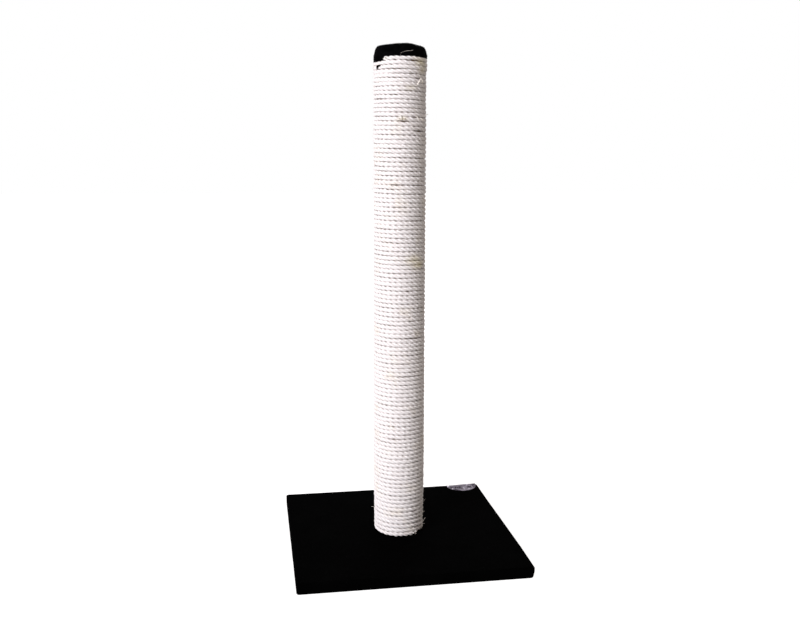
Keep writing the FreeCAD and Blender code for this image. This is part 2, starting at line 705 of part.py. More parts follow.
def report_rope(name, solid, path, diameter, radius):
    expected = math.pi * diameter ** 2 / 4 * path.Length
    print("%s: %.2f m, %.2f turns, least gap to itself %.3f mm, volume %.6f of section x length"
          % (name, path.Length / 1000, path.Length / (2 * math.pi * radius),
             least_gap(path, diameter, radius), solid.Volume / expected))


def make_rope_nails():
    return sub_part(feature_of("rope_nails", rope_nails()))


def skirt_section(angle, fold):
    """The gathered skirt cut at one angle; fold is 0 on a crest and 1 in a valley. Its lower edge
    follows the top of the rope's first turn."""
    round_so_far = angle - math.radians(size("rope_top_angle"))
    lower = (value(ROPE_TOP) + size("cap_rope_clearance")
             - upper_pitch * round_so_far / (2 * math.pi))
    inner = value(CAP_INNER_RADIUS) - size("cap_staple_sink")
    outline = [
        (inner, lower),
        (value(SKIRT_RADIUS) - fold * size("cap_pleat_depth"), lower),
        (value(SKIRT_RADIUS) - fold * size("cap_bulge_pleat_depth"),
         value(ROPE_TOP) + size("cap_bulge_rise")),
        (value(FOLD_RADIUS) - size("cap_skirt_overlap") / 2, value(FOLD_TOP)),
        (inner, value(FOLD_TOP)),
    ]
    points = [V(r * math.cos(angle), r * math.sin(angle), z) for r, z in outline]
    return Part.makePolygon(points + points[:1])


def make_cap_carpet():
    body = new_body("cap_crown")
    sketch = new_sketch(body, "cap_outline", role="XZ_Plane")
    crown_foot = FOLD_TOP + " - Sizes.cap_skirt_overlap"
    shoulder_x = "%s + Sizes.cap_shoulder_cover" % TUBE_RADIUS
    add_polygon(sketch, [
        ("inner_middle", None, PLUG_TOP),
        ("plug_edge", "%s + Sizes.plug_clearance" % PLUG_RADIUS, PLUG_TOP),
        ("tube_corner", CAP_INNER_RADIUS, TUBE_TOP + " + Sizes.cap_tube_clearance"),
        ("inner_foot", CAP_INNER_RADIUS, crown_foot),
        ("outer_foot", FOLD_RADIUS, crown_foot),
        ("shoulder", shoulder_x, TUBE_TOP + " + Sizes.cap_shoulder_rise"),
        ("crown_edge", CROWN_RADIUS, CAP_TOP + " - Sizes.cap_crown_fall"),
        ("outer_middle", None, CAP_TOP),
    ])
    crown = body.newObject("PartDesign::Revolution", "crown")
    crown.Profile = sketch
    crown.ReferenceAxis = (sketch, ["V_Axis"])
    crown.Angle = 360
    doc.recompute()
    for name, radius, rounding in (("crown_rounding", CROWN_RADIUS, "Sizes.cap_crown_rounding"),
                                   ("shoulder_rounding", shoulder_x,
                                    "Sizes.cap_shoulder_rounding")):
        edges = ["Edge%d" % (i + 1) for i, edge in enumerate(body.Shape.Edges)
                 if isinstance(edge.Curve, Part.Circle)
                 and abs(edge.Curve.Radius - value(radius)) < 1e-3]
        fillet(body, name, edges, rounding)
    # The skirt's deep end stops just short of the rope's cut face.
    rope_inside = value(ROPE_INSIDE)
    first = (math.radians(size("rope_top_angle"))
             - math.atan(upper_diameter / rope_inside) + math.atan(upper_diameter / upper_radius)
             - size("cap_rope_clearance") / rope_inside)
    folds = 2 * int(round(size("cap_pleats")))
    sections = [skirt_section(first + 2 * math.pi * i / folds, i % 2) for i in range(folds + 1)]
    half = folds // 2
    halves = [feature_of("skirt_half_%d" % (i + 1),
                         Part.makeLoft(sections[i * half:(i + 1) * half + 1], True, True))
              for i in range(2)]
    whole = doc.addObject("Part::MultiFuse", "cap_solid")
    whole.Shapes = [body] + halves
    inside = cylinder("cap_tube_space", CAP_INNER_RADIUS, "Sizes.tube_length",
                      TUBE_TOP + " + Sizes.cap_tube_clearance - Sizes.tube_length")
    hollow = cut("cap_hollow", whole, inside)
    slots = feature_of("cap_slots",
                       placed(staple_hole(size("cap_staple_sink")), cap_staple_places()))
    return sub_part(cut("cap_carpet", hollow, slots))


def make_cap_staples():
    return sub_part(feature_of("cap_staples", placed(staple(), cap_staple_places())))


def make_blank_label():
    """A round foil label whose rear half is folded down over the base's rear edge."""
    rounding = size("carpet_edge_radius")
    rear = size("base_side") / 2
    top = value(BASE_TOP)
    radius = size("label_diameter") / 2
    x = rear - radius - size("label_side_inset")
    low = size("label_above_floor")

    def fold_line(offset):
        """The folded label's side at a distance from the carpet, from its front to its lower end."""
        bend = V(x, rear - rounding, top - rounding)
        reach = rounding + offset
        half = reach / math.sqrt(2)
        return [V(x, rear - radius - rounding, top + offset), bend + V(0, 0, reach),
                bend + V(0, half, half), bend + V(0, reach, 0), V(x, rear + offset, low)]

    near = fold_line(size("label_gap"))
    far = fold_line(size("label_gap") + size("label_thickness"))
    edges = [Part.LineSegment(near[0], near[1]), Part.Arc(near[1], near[2], near[3]),
             Part.LineSegment(near[3], near[4]), Part.LineSegment(near[4], far[4]),
             Part.LineSegment(far[4], far[3]), Part.Arc(far[3], far[2], far[1]),
             Part.LineSegment(far[1], far[0]), Part.LineSegment(far[0], near[0])]
    side = Part.Face(Part.Wire([edge.toShape() for edge in edges]))
    side.translate(V(-radius, 0, 0))
    strip = side.extrude(V(2 * radius, 0, 0))
    # The fold takes up a quarter circle, so the circle's middle lies lower on the rear side.
    folded_middle = top - rounding + math.pi / 2 * rounding - (rounding - size("label_from_rear"))
    upright = Part.makeCylinder(radius, 2 * rounding, V(x, rear - size("label_from_rear"),
                                                        top - rounding))
    level = Part.makeCylinder(radius, rounding, V(x, rear, folded_middle), V(0, 1, 0))
    return sub_part(feature_of("blank_label", strip.common(upright.fuse(level))))


make_base_board()
make_base_carpet()
make_carpet_staples()
make_base_bolt()
make_base_washer()
make_tee_nut()
make_bottom_plug()
make_top_plug()
make_plug_nails()
make_post_tube()
make_ropes()
make_rope_nails()
make_cap_carpet()
make_cap_staples()
make_blank_label()
doc.recompute()

for item in doc.Objects:
    if "Invalid" in item.State or "Error" in item.State:
        raise RuntimeError("%s failed: %s" % (item.Label, item.State))
for item in parts:
    shape = item.Shape
    if shape.isNull() or not shape.isValid() or not shape.Solids:
        raise RuntimeError("%s has no valid solid" % item.Label)

os.makedirs("parts", exist_ok=True)
for item in parts:
    item.Shape.exportStep(os.path.join("parts", item.Label + ".step"))
    box = item.Shape.BoundBox
    print("%-18s %2d solids  %10.0f mm3  z %.1f to %.1f"
          % (item.Label, len(item.Shape.Solids), item.Shape.Volume, box.ZMin, box.ZMax))
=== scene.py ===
from functools import partial
import math
import bpy
import numpy as np
from mathutils import Matrix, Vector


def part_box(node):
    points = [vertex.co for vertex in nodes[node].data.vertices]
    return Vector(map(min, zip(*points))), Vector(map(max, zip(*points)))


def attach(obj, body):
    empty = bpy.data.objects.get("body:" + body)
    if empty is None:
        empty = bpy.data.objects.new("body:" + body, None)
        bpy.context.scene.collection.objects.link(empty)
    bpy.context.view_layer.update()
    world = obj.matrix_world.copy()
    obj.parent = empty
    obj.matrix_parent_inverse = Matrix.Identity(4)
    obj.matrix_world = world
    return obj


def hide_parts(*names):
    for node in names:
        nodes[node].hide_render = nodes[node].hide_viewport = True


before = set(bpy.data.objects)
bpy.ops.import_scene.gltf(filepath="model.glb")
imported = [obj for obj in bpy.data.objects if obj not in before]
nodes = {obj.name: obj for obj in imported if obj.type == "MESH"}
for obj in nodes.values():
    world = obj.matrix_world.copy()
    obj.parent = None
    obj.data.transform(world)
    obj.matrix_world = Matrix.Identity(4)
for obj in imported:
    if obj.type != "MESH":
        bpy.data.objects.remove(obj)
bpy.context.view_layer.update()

mm = 0.001
tau = 2 * math.pi

# places that the pieces below share, read from the frame
floorOfPost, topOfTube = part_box("post_tube")[0].z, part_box("post_tube")[1].z
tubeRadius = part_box("post_tube")[1].x
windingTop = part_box("rope_upper")[1].z
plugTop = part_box("top_plug")[1].z
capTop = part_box("cap_carpet")[1].z
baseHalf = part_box("base_carpet")[1].x
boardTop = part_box("base_board")[1].z


# helpers: smooth random lines, meshes from grids, nodes

def wander(places, spacing, amount, seed):
    # a smooth random line: random knots every spacing, joined by half cosines
    rng = np.random.default_rng(seed)
    steps = (places - places.min()) / spacing
    knots = rng.uniform(-amount, amount, int(steps.max()) + 2)
    whole = np.floor(steps).astype(int)
    ease = (1 - np.cos(np.pi * (steps - whole))) / 2
    return knots[whole] * (1 - ease) + knots[whole + 1] * ease


def ripples(points, length, amount, seed, count=9):
    # gentle lumps: a sum of sine waves of about one length, each in its own random direction
    rng = np.random.default_rng(seed)
    ways = rng.normal(size=(count, 3))
    ways /= np.linalg.norm(ways, axis=1)[:, None]
    waves = tau / (length * rng.uniform(0.7, 1.5, count))
    phases = rng.uniform(0, tau, count)
    return amount * np.sin(points @ (ways * waves[:, None]).T + phases).sum(-1) / math.sqrt(count)


def smoothThrough(knots, count):
    # a smooth curve through the knots: cubic pieces whose slope at a knot is half the way between
    # its neighbours
    knots = np.asarray(knots, float)
    ends = np.vstack([2 * knots[0] - knots[1], knots, 2 * knots[-1] - knots[-2]])
    at = np.linspace(0, len(knots) - 1, count)
    i = np.minimum(at.astype(int), len(knots) - 2)
    t = (at - i)[:, None]
    a, b, c, d = ends[i], ends[i + 1], ends[i + 2], ends[i + 3]
    return (b + t * (c - a) / 2 + t ** 2 * (a - 2.5 * b + 2 * c - d / 2)
            + t ** 3 * (1.5 * (b - c) + (d - a) / 2))


def makeMesh(name, points, faces, uv=None, marks=None):
    # faces is a list of whole-number arrays, one row a face; uv holds one pair for each corner in
    # turn, and marks hold one number for each point
    mesh = bpy.data.meshes.new(name)
    corners = np.concatenate([f.ravel() for f in faces])
    sizes = np.concatenate([np.full(len(f), f.shape[1]) for f in faces])
    mesh.vertices.add(len(points))
    mesh.vertices.foreach_set("co", points.astype(np.float32).ravel())
    mesh.loops.add(len(corners))
    mesh.loops.foreach_set("vertex_index", corners.astype(np.int32))
    mesh.polygons.add(len(sizes))
    mesh.polygons.foreach_set("loop_start", (np.cumsum(sizes) - sizes).astype(np.int32))
    mesh.polygons.foreach_set("use_smooth", np.ones(len(sizes), bool))
    if uv is not None:
        layer = mesh.uv_layers.new(name="UVMap")
        layer.data.foreach_set("uv", uv.astype(np.float32).ravel())
    for mark, values in (marks or {}).items():
        attribute = mesh.attributes.new(mark, "FLOAT", "POINT")
        attribute.data.foreach_set("value", values.astype(np.float32).ravel())
    mesh.update()
    mesh.validate()
    piece = bpy.data.objects.new(name, mesh)
    bpy.context.scene.collection.objects.link(piece)
    return piece


def gridFaces(rows, columns, closeRows=False, closeColumns=False):
    # the four corners of each cell of a grid of points, row after row
    down = np.arange(rows if closeRows else rows - 1)
    along = np.arange(columns if closeColumns else columns - 1)
    i, j = np.meshgrid(down, along, indexing="ij")
    nextI, nextJ = (i + 1) % rows, (j + 1) % columns
    cells = [i * columns + j, nextI * columns + j, nextI * columns + nextJ, i * columns + nextJ]
    return np.stack(cells, -1).reshape(-1, 4)


def hexColor(code):
    # an sRGB hex value as linear red, green, blue and alpha
    parts = [int(code[i:i + 2], 16) / 255 for i in (1, 3, 5)]
    return [c / 12.92 if c <= 0.04045 else ((c + 0.055) / 1.055) ** 2.4 for c in parts] + [1]


# what a node gives where it stands as another one's input: a mix its colour, and so on; any other
# kind gives its first output
mainOutput = {"ShaderNodeMix": 2, "ShaderNodeAttribute": "Fac", "ShaderNodeTexCoord": "Object",
              "ShaderNodeTexNoise": "Fac", "ShaderNodeTexWave": "Fac", "ShaderNodeVectorMath": "Value"}


def setInputs(node, inputs):
    # each input is a number, a hex colour, another node's output, or a node for its main output
    for socket, given in inputs.items():
        if isinstance(given, bpy.types.Node):
            given = given.outputs[mainOutput.get(given.bl_idname, 0)]
        if isinstance(given, bpy.types.NodeSocket):
            node.id_data.links.new(given, node.inputs[socket])
        else:
            node.inputs[socket].default_value = hexColor(given) if isinstance(given, str) else given


def addNode(tree, kind, inputs, **settings):
    # adds a node with its settings and inputs; a mix is one of colours
    node = tree.nodes.new("ShaderNode" + kind)
    if kind == "Mix":
        node.data_type = "RGBA"
    for name, setting in settings.items():
        setattr(node, name, setting)
    setInputs(node, inputs)
    return node


def newMaterial(name):
    # a new material, its shader, and addNode for this material
    material = bpy.data.materials.new(name)
    material.use_nodes = True
    tree = material.node_tree
    return material, tree.nodes["Principled BSDF"], partial(addNode, tree)


def tint(add, base, color, mark, low, high, most=1.0):
    # lays a colour over the base where the mark passes from low to high, there with the share most
    share = add("MapRange", {"Value": mark, "From Min": low, "From Max": high, "To Max": most})
    return add("Mix", {0: share, 6: base, 7: color})


# the rope

rope = {
    "upperDiameter": 6.7 * mm,
    "lowerDiameter": 7.2 * mm,
    "leastGap": 0.42 * mm,
    "tubeClearance": 0.3 * mm,
    "topAngle": -135,           # degrees round the post from +X: the upper rope's first end
    "joinAngle": -94,
    "bottomAngle": -54,
    "wholeTurnsAboveJoin": 14,
    "joinGap": 2 * mm,
    "lowerPieces": 5,
    "lay": 28.3 * mm,           # length in which a strand goes once round the rope
    "groove": 0.39,             # depth between two strands, as a share of the rope's radius
    "swell": 1.13,              # the soft rope fills the gap between its turns
    "squareness": 2.3,          # and its turns press each other flat: 2 is round, more is squarer
    "growth": 0.75 * mm,        # and stands out past the construction's round, tight rope
    "ringStep": 1.06 * mm,
    "pointsRound": 18,
    "outerShare": 0.45,         # how much closer the points lie on the side that shows
    "endReach": 0.8 * mm,       # frayed ends reach past the cut
    # how the rope wanders along its length: within what length, and how far
    "wandersUp": (40 * mm, 0.42 * mm),
    "wandersOut": (60 * mm, 0.16 * mm),
    "turnsSlowly": (120 * mm, 0.55),    # its strands' twist, in radians
    "turnsQuickly": (31 * mm, 0.16),
    "thickens": (31 * mm, 0.045),       # as a share of the radius
    "strandSwells": (12 * mm, 0.08),    # each strand for itself, likewise
    "pressShadeChanges": (10 * mm, 0.3),     # how strongly the painted shade between pressed turns changes, likewise
    "fibreRelief": 0.10 * mm,   # single fibres that stand up
    "frayedOver": 6 * mm,       # the cut ends open a little over this length
    # places where two turns part: degrees round the post, height, opening and width in mm, and how
    # brown the gap is painted: partly the fibre's own brown, partly painted shade in the gap
    "gaps": ((-90.5, 758, 0.7, 5.5, 1.0), (-49, 743.7, 0.9, 8, 0.7), (-59, 68.4, 0.45, 3, 0.9),
             (-55, 829, 0.6, 6, 0.35), (-62, 764.5, 0.4, 7, 0.25), (-70, 860, 0.6, 9, 0.35),
             (-111, 861, 0.3, 3, 0.3), (-79, 467.8, 0.3, 4, 0.6), (-152, 801, 0.5, 9, 0.2),
             (-104, 655, 0.4, 11, 0.3), (-68, 388, 0.45, 10, 0.3), (-112, 203, 0.4, 12, 0.2),
             (96, 512, 0.5, 12, 0.3), (20, 250, 0.5, 9, 0.4)),
    "gapEdge": 2 * mm,          # about this far above or below a gap's middle they are fully parted
    "gapReach": 13 * mm,        # and about this far away they are back in their places
    # yellow stains: degrees round the post, height, width and height of the stain in mm, strength
    "stains": ((-62, 525, 12, 8, 0.6), (-50, 517, 12, 8, 0.7), (-47, 858, 11, 7, 0.7),
               (-40, 847, 10, 8, 0.5), (-92, 764.5, 6, 4, 0.6), (-74, 816, 9, 5, 0.3),
               (60, 690, 14, 9, 0.6), (150, 330, 16, 8, 0.6)),
    # where the first turns lie over the cloth's hem and stand out: how far, middle and reach in
    # degrees, from this height up, and fully so this much higher
    "topBulge": (1.5 * mm, -18, 55, 842 * mm, 6 * mm),
    # where turns have slipped down beside the lower cut end: depth, middle and reach in degrees,
    # the lowest height it reaches, from which the depth fades over the last length
    "endSag": (5.4 * mm, -8, 38, 31 * mm, 18 * mm),
    # and below the upper cut end: depth, middle, reach, fading over this height
    "topSag": (4.2 * mm, -168, 36, 18 * mm),
    "footSlim": (1.1 * mm, 112 * mm, 42 * mm),     # drawn tighter at the foot: how much, below, over
    "freeEdge": 0.75,           # how much deeper the grooves are where no next turn presses
}


def helixPoint(helix, s):
    # a left-handed helix measured by its own length s: it falls evenly as its angle grows, and runs
    # straight on before its first and after its last wound point
    wound = np.clip(s, helix["windStart"], helix["windEnd"])
    angle = helix["firstAngle"] + (wound - helix["windStart"]) / helix["perRadian"]
    slope = helix["fall"] / helix["perRadian"]
    level = helix["radius"] / helix["perRadian"]
    height = helix["firstZ"] - (angle - helix["firstAngle"]) * helix["fall"]
    outward = np.stack([np.cos(angle), np.sin(angle), np.zeros_like(angle)], -1)
    onward = np.stack([-np.sin(angle) * level, np.cos(angle) * level, np.full_like(angle, -slope)], -1)
    place = outward * helix["radius"] + np.stack([0 * angle, 0 * angle, height], -1)
    place += onward * (s - wound)[:, None]
    return place, outward, onward


def makeHelix(radius, pitch, diameter, firstAngle, lastAngle, firstZ):
    fall = pitch / tau
    perRadian = math.hypot(radius, fall)
    woundLength = (lastAngle - firstAngle) * perRadian
    return {"radius": radius, "fall": fall, "perRadian": perRadian, "diameter": diameter,
            "firstAngle": firstAngle, "firstZ": firstZ, "windStart": diameter,
            "windEnd": diameter + woundLength, "length": woundLength + 2 * diameter}


def planRopes():
    # the same path as the construction's: the upper rope hangs from the winding's top, the lower one
    # starts beside its end and finishes on the base, with a pitch that makes whole turns fit
    upper, lower = rope["upperDiameter"], rope["lowerDiameter"]
    upperRadius = tubeRadius + rope["tubeClearance"] + upper / 2
    lowerRadius = tubeRadius + rope["tubeClearance"] + lower / 2
    upperPitch, leastPitch = upper + rope["leastGap"], lower + rope["leastGap"]
    join = math.radians(rope["joinAngle"])
    upperFirst = math.radians(rope["topAngle"]) + math.atan(upper / upperRadius)
    upperLast = (join + tau * rope["wholeTurnsAboveJoin"] - math.atan(upper / upperRadius)
                 - rope["joinGap"] / 2 / upperRadius)
    upperFall = upper * upperPitch / math.hypot(tau * upperRadius, upperPitch)
    upperTop = windingTop - upper / 2 - upperFall
    joinZ = upperTop - (upperLast - upperFirst) * upperPitch / tau - upperFall
    lowerFall = lower * leastPitch / math.hypot(tau * lowerRadius, leastPitch)
    lowerFirst = join + math.atan(lower / lowerRadius) + rope["joinGap"] / 2 / lowerRadius
    lowerTop = joinZ - (lower - upper) / 2 - lowerFall
    lowerEnd = floorOfPost + rope["tubeClearance"] + lower / 2 + lowerFall
    partTurn = (math.radians(rope["bottomAngle"]) - math.atan(lower / lowerRadius) - lowerFirst) / tau
    turns = math.floor((lowerTop - lowerEnd) / leastPitch - partTurn) + partTurn
    return (makeHelix(upperRadius, upperPitch, upper, upperFirst, upperLast, upperTop),
            makeHelix(lowerRadius, (lowerTop - lowerEnd) / turns, lower, lowerFirst,
                      lowerFirst + tau * turns, lowerTop))


def bell(angle, middle, reach):
    # 1 at the middle angle, falling off in a bell curve whose reach is given in degrees too
    aside = (np.degrees(angle) - middle + 180) % 360 - 180
    return np.exp(-(aside / reach) ** 2)


def gapHeight(helix, azimuth, height):
    # the height of the gap between two turns that lies nearest to the wanted height at that azimuth
    pitch = helix["fall"] * tau
    turn = (math.radians(azimuth) - helix["firstAngle"]) % tau
    firstGap = helix["firstZ"] - turn * helix["fall"] - pitch / 2
    return firstGap - pitch * round((firstGap - height * mm) / pitch)


def giveWay(helix, place):
    # how far up and out the wound rope has moved: turns part at the gaps, by the tanh of the height
    # over the gap times a bell; the first turns lie over the hem; the foot is drawn tighter; the
    # rope sags beside its two cut ends
    angle, height = np.arctan2(place[:, 1], place[:, 0]), place[:, 2]
    up, out = np.zeros(len(place)), np.zeros(len(place))
    for azimuth, level, opening, wide, _ in rope["gaps"]:
        above = height - gapHeight(helix, azimuth, level)
        reach = math.degrees(wide * mm / helix["radius"])
        up += (opening * mm * np.tanh(above / rope["gapEdge"]) * np.exp(-(above / rope["gapReach"]) ** 2)
               * bell(angle, azimuth, reach))
    rise, middle, reach, level, over = rope["topBulge"]
    out += rise * bell(angle, middle, reach) * np.clip((height - level) / over, 0, 1)
    slim, below, over = rope["footSlim"]
    out -= slim * np.clip((below - height) / over, 0, 1)
    depth, middle, reach, level, fading = rope["endSag"]
    sag = depth * bell(angle, middle, reach) * np.exp(-np.maximum(height - level, 0) / fading)
    return up - np.where(height > level - 4 * mm, sag, 0) - topSag(angle, height), out


def topSag(angle, height):
    # how far the first turns have slipped down on one side, less the lower they lie
    depth, middle, reach, fading = rope["topSag"]
    return depth * bell(angle, middle, reach) * np.exp(-np.maximum(windingTop - height, 0) / fading)


def spotMarks(points, spots):
    # for each point the strongest of the spots: a bell in the distance along and across the rope
    angle, height = np.arctan2(points[:, 1], points[:, 0]), points[:, 2]
    marks = np.zeros(len(points))
    for azimuth, level, wide, tall, strength in spots:
        across = bell(angle, azimuth, math.degrees(wide * mm / tubeRadius))
        marks = np.maximum(marks, strength * across * np.exp(-((height - level * mm) / (tall * mm)) ** 2))
    return marks


def ropeSurface(helix, freeLevel, seed):
    # three strands laid right-handed round each other. At each ring of the rope's length s the radius
    # is R(1 - groove(1 - |cos(1.5 d)|^0.7)), where d is the angle from the nearest strand's crest,
    # which turns once in a lay. Lay, thickness and height wander a little along the rope. Near the
    # free level, where the winding ends, no next turn presses and the grooves are deeper.
    ringCount = int(round(helix["length"] / rope["ringStep"])) + 1
    s = np.linspace(-rope["endReach"], helix["length"] + rope["endReach"], ringCount)
    place, outward, onward = helixPoint(helix, s)
    across = np.cross(onward, outward)
    moved, lifted = giveWay(helix, place)
    place = place + [0, 0, 1] * moved[:, None] + outward * lifted[:, None]
    place = place + across * wander(s, *rope["wandersUp"], seed)[:, None]
    place = place + outward * (rope["growth"] / 2 + wander(s, *rope["wandersOut"], seed + 1))[:, None]
    twist = (tau * s / rope["lay"] + wander(s, *rope["turnsSlowly"], seed + 2)
             + wander(s, *rope["turnsQuickly"], seed + 3))
    thickness = 1 + wander(s, *rope["thickens"], seed + 4)
    fromEnd = np.minimum(s, helix["length"] - s)
    frayed = np.clip(1 - fromEnd / rope["frayedOver"], 0, 1) ** 2
    t = np.arange(rope["pointsRound"]) / rope["pointsRound"]
    round_ = tau * t - rope["outerShare"] * np.sin(tau * t)  # closer together where the rope shows
    fromCrest = round_[None, :] - twist[:, None]
    ridge = np.abs(np.cos(1.5 * fromCrest)) ** 0.7
    # in full within 4.2 mm of the free level, and not at all beyond 11.2 mm
    free = np.clip(1.6 - np.abs(place[:, 2] - freeLevel) / (7 * mm), 0, 1) * rope["freeEdge"]
    groove = (rope["groove"] * (1 + 0.9 * frayed + free))[:, None] * (1 - ridge)
    strand = np.floor((fromCrest / tau * 3 + 0.5) % 3).astype(int)
    uneven = np.stack([wander(s, *rope["strandSwells"], seed + 5 + k) for k in range(3)], -1)
    radius = 1 - groove + np.take_along_axis(uneven, strand, 1) * ridge
    radius *= (thickness * (1 + 0.10 * frayed))[:, None] * helix["diameter"] / 2
    rng = np.random.default_rng(seed + 9)
    radius += rng.normal(0, rope["fibreRelief"], radius.shape)
    # squarer than a circle: divided by (|cos|^n + |sin|^n)^(1/n)
    power = rope["squareness"]
    radius = radius / (np.abs(np.cos(round_)) ** power + np.abs(np.sin(round_)) ** power) ** (1 / power)
    stretch = 1 + rope["growth"] / helix["diameter"]
    points = place[:, None, :] + radius[..., None] * (
        stretch * np.cos(round_)[None, :, None] * outward[:, None, :]
        + rope["swell"] * np.sin(round_)[None, :, None] * across[:, None, :])
    # painted shade: 1 where two turns press together, less on a strand's crest; 0 on the side that shows
    paintedPressShade = np.clip((np.abs(np.sin(round_)) - 0.70) / 0.22, 0, 1)[None, :] * (1 - 0.7 * ridge)
    paintedPressShade = paintedPressShade * (0.7 + wander(s, *rope["pressShadeChanges"], seed + 12))[:, None]
    return {"s": s, "points": points, "round": round_, "ridge": ridge, "paintedPressShade": paintedPressShade,
            "onward": onward}


def ropePiece(name, node, helix, surface, first, last):
    # one length of the rope: its rings from first to last, with a fan of triangles over each end.
    # The UV map is the place on the rope in metres: along it, and round it.
    count = rope["pointsRound"]
    points = surface["points"][first:last + 1]
    rings = len(points)
    middles = np.array([points[0].mean(0), points[-1].mean(0)])
    inward = np.array([surface["onward"][first], -surface["onward"][last]])
    wholeEnds = np.array([first == 0, last == len(surface["s"]) - 1])
    middles += inward * np.where(wholeEnds, 0.5 * mm, 0)[:, None]       # a cut face is dished
    faces = gridFaces(rings, count, closeColumns=True)[:, ::-1]
    j = np.arange(count)
    start = np.stack([np.full(count, rings * count), j, (j + 1) % count], -1)
    base = (rings - 1) * count
    end = np.stack([np.full(count, rings * count + 1), base + (j + 1) % count, base + j], -1)
    along = surface["s"][first:last + 1]
    around = np.append(surface["round"], tau) * helix["diameter"] / 2
    i, k = np.divmod(np.arange((rings - 1) * count), count)
    corners = ((0, 1), (1, 1), (1, 0), (0, 0))                          # in the order of the faces
    uv = np.stack([np.stack([along[i + a], around[k + b]], -1) for a, b in corners], 1)
    uv = np.concatenate([uv.reshape(-1, 2), np.zeros((2 * count * 3, 2))])
    points = np.concatenate([points.reshape(-1, 3), middles])
    # the gaps' brown: partly the fibre's own brown, partly painted shade in the gap
    gapBrownAndShadeSpots = [(azimuth, gapHeight(helix, azimuth, level) / mm, wide * 0.9, 1.6, strength)
              for azimuth, level, _, wide, strength in rope["gaps"]]
    marks = {"ridge": np.append(surface["ridge"][first:last + 1].ravel(), [0.45, 0.45]),
             "paintedPressShade": np.append(surface["paintedPressShade"][first:last + 1].ravel(), [0, 0]),
             "stain": spotMarks(points, rope["stains"]), "gapBrownAndShade": spotMarks(points, gapBrownAndShadeSpots)}
    piece = makeMesh(name, points, [faces, start, end], uv, marks)
    piece.data.materials.append(sisalRope)
    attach(piece, "root")
    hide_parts(node)


def makeSisal():
    # sisal: pale, dull leaf fibres laid into a hard rope, with fine lines along it. Painted shade
    # darkens the grooves between strands and the sides where two turns press, and the gaps where
    # turns part are painted brown, partly the fibre's own brown and partly painted shade. A real fibre
    # is 0.2 mm thick: the streaks are 0.34 mm, so that they show, and the yarns 1.3 mm.
    material, shader, add = newMaterial("sisal fibre rope, natural")
    along = add("UVMap", {}, uv_map="UVMap")
    fine = add("Mapping", {"Vector": along, "Scale": (1 / (9 * mm), 1 / (0.34 * mm), 1)})
    coarse = add("Mapping", {"Vector": along, "Scale": (1 / (26 * mm), 1 / (1.3 * mm), 1)})
    fibres = add("TexNoise", {"Vector": fine, "Scale": 1, "Detail": 3, "Roughness": 0.6})
    yarns = add("TexNoise", {"Vector": coarse, "Scale": 1, "Detail": 2})
    place = add("TexCoord", {})
    patches = add("TexNoise", {"Vector": place, "Scale": 1 / (34 * mm), "Detail": 3})
    ridge = add("Attribute", {}, attribute_name="ridge")
    # painted shade in the grooves between strands, at half strength at a groove's bottom
    paintedGrooveShade = add("MapRange", {"Value": ridge, "From Max": 0.62, "To Min": 0.5, "To Max": 0.0})
    tone = tint(add, "#eae5e4", "#fcf9fa", fibres, 0.36, 0.64)
    warmed = tint(add, tone, "#ebe0c8", patches, 0.56, 0.78, 0.4)
    flecked = tint(add, warmed, "#bba890", yarns, 0.66, 0.80, 0.5)
    # painted shade where two turns press together
    paintedPressShade = add("Attribute", {}, attribute_name="paintedPressShade")
    shade = add("Math", {0: paintedGrooveShade, 1: paintedPressShade}, operation="MAXIMUM")
    # the stronger of the two painted shades darkens the fibre colour towards grey-brown
    paintedShadeColor = add("Mix", {0: shade, 6: flecked, 7: "#978a81"})
    stain = add("Attribute", {}, attribute_name="stain")
    # the gaps' brown, partly painted shade in the gap
    gapBrownAndShade = add("Attribute", {}, attribute_name="gapBrownAndShade")
    stained = add("Mix", {0: stain, 6: paintedShadeColor, 7: "#e2d8b6"})
    color = add("Mix", {0: gapBrownAndShade, 6: stained, 7: "#5c3024"})
    bump = add("Bump", {"Height": fibres, "Distance": 0.22 * mm, "Strength": 0.75})
    ropeBump = add("Bump", {"Height": yarns, "Distance": 0.45 * mm, "Strength": 0.8, "Normal": bump})
    lumps = add("TexNoise", {"Vector": place, "Scale": 1 / (5.5 * mm), "Detail": 2})
    lumpy = add("Bump", {"Height": lumps, "Distance": 1.5 * mm, "Strength": 0.8, "Normal": ropeBump})
    setInputs(shader, {"Base Color": color, "Normal": lumpy, "Roughness": 0.82,
                       "Specular IOR Level": 0.28})
    return material


sisalRope = makeSisal()
upperHelix, lowerHelix = planRopes()
upperSurface = ropeSurface(upperHelix, windingTop, seed=11)
lowerSurface = ropeSurface(lowerHelix, floorOfPost, seed=41)
ropePiece("ropeUpper", "rope_upper", upperHelix, upperSurface, 0, len(upperSurface["s"]) - 1)
woundShare = (lowerHelix["windEnd"] - lowerHelix["windStart"]) / rope["lowerPieces"]
for i in range(rope["lowerPieces"]):
    edges = [lowerHelix["windStart"] + woundShare * k for k in (i, i + 1)]
    firstRing = 0 if i == 0 else int(np.searchsorted(lowerSurface["s"], edges[0]))
    lastRing = (len(lowerSurface["s"]) - 1 if i == rope["lowerPieces"] - 1
                else int(np.searchsorted(lowerSurface["s"], edges[1])))
    ropePiece("ropeLower%d" % (i + 1), "rope_lower_%d" % (i + 1), lowerHelix, lowerSurface,
              firstRing, lastRing)
print("rope: %d rings, %.2f m and %.2f m" % (len(upperSurface["s"]) + len(lowerSurface["s"]),
                                              upperHelix["length"], lowerHelix["length"]))


# loose fibres on the rope

fuzz = {
    "count": 8200,
    "shortest": 1.6 * mm,
    "longest": 8.5 * mm,
    "thickness": 0.19 * mm,
    "endTuft": 46,              # more of them at each cut end
}


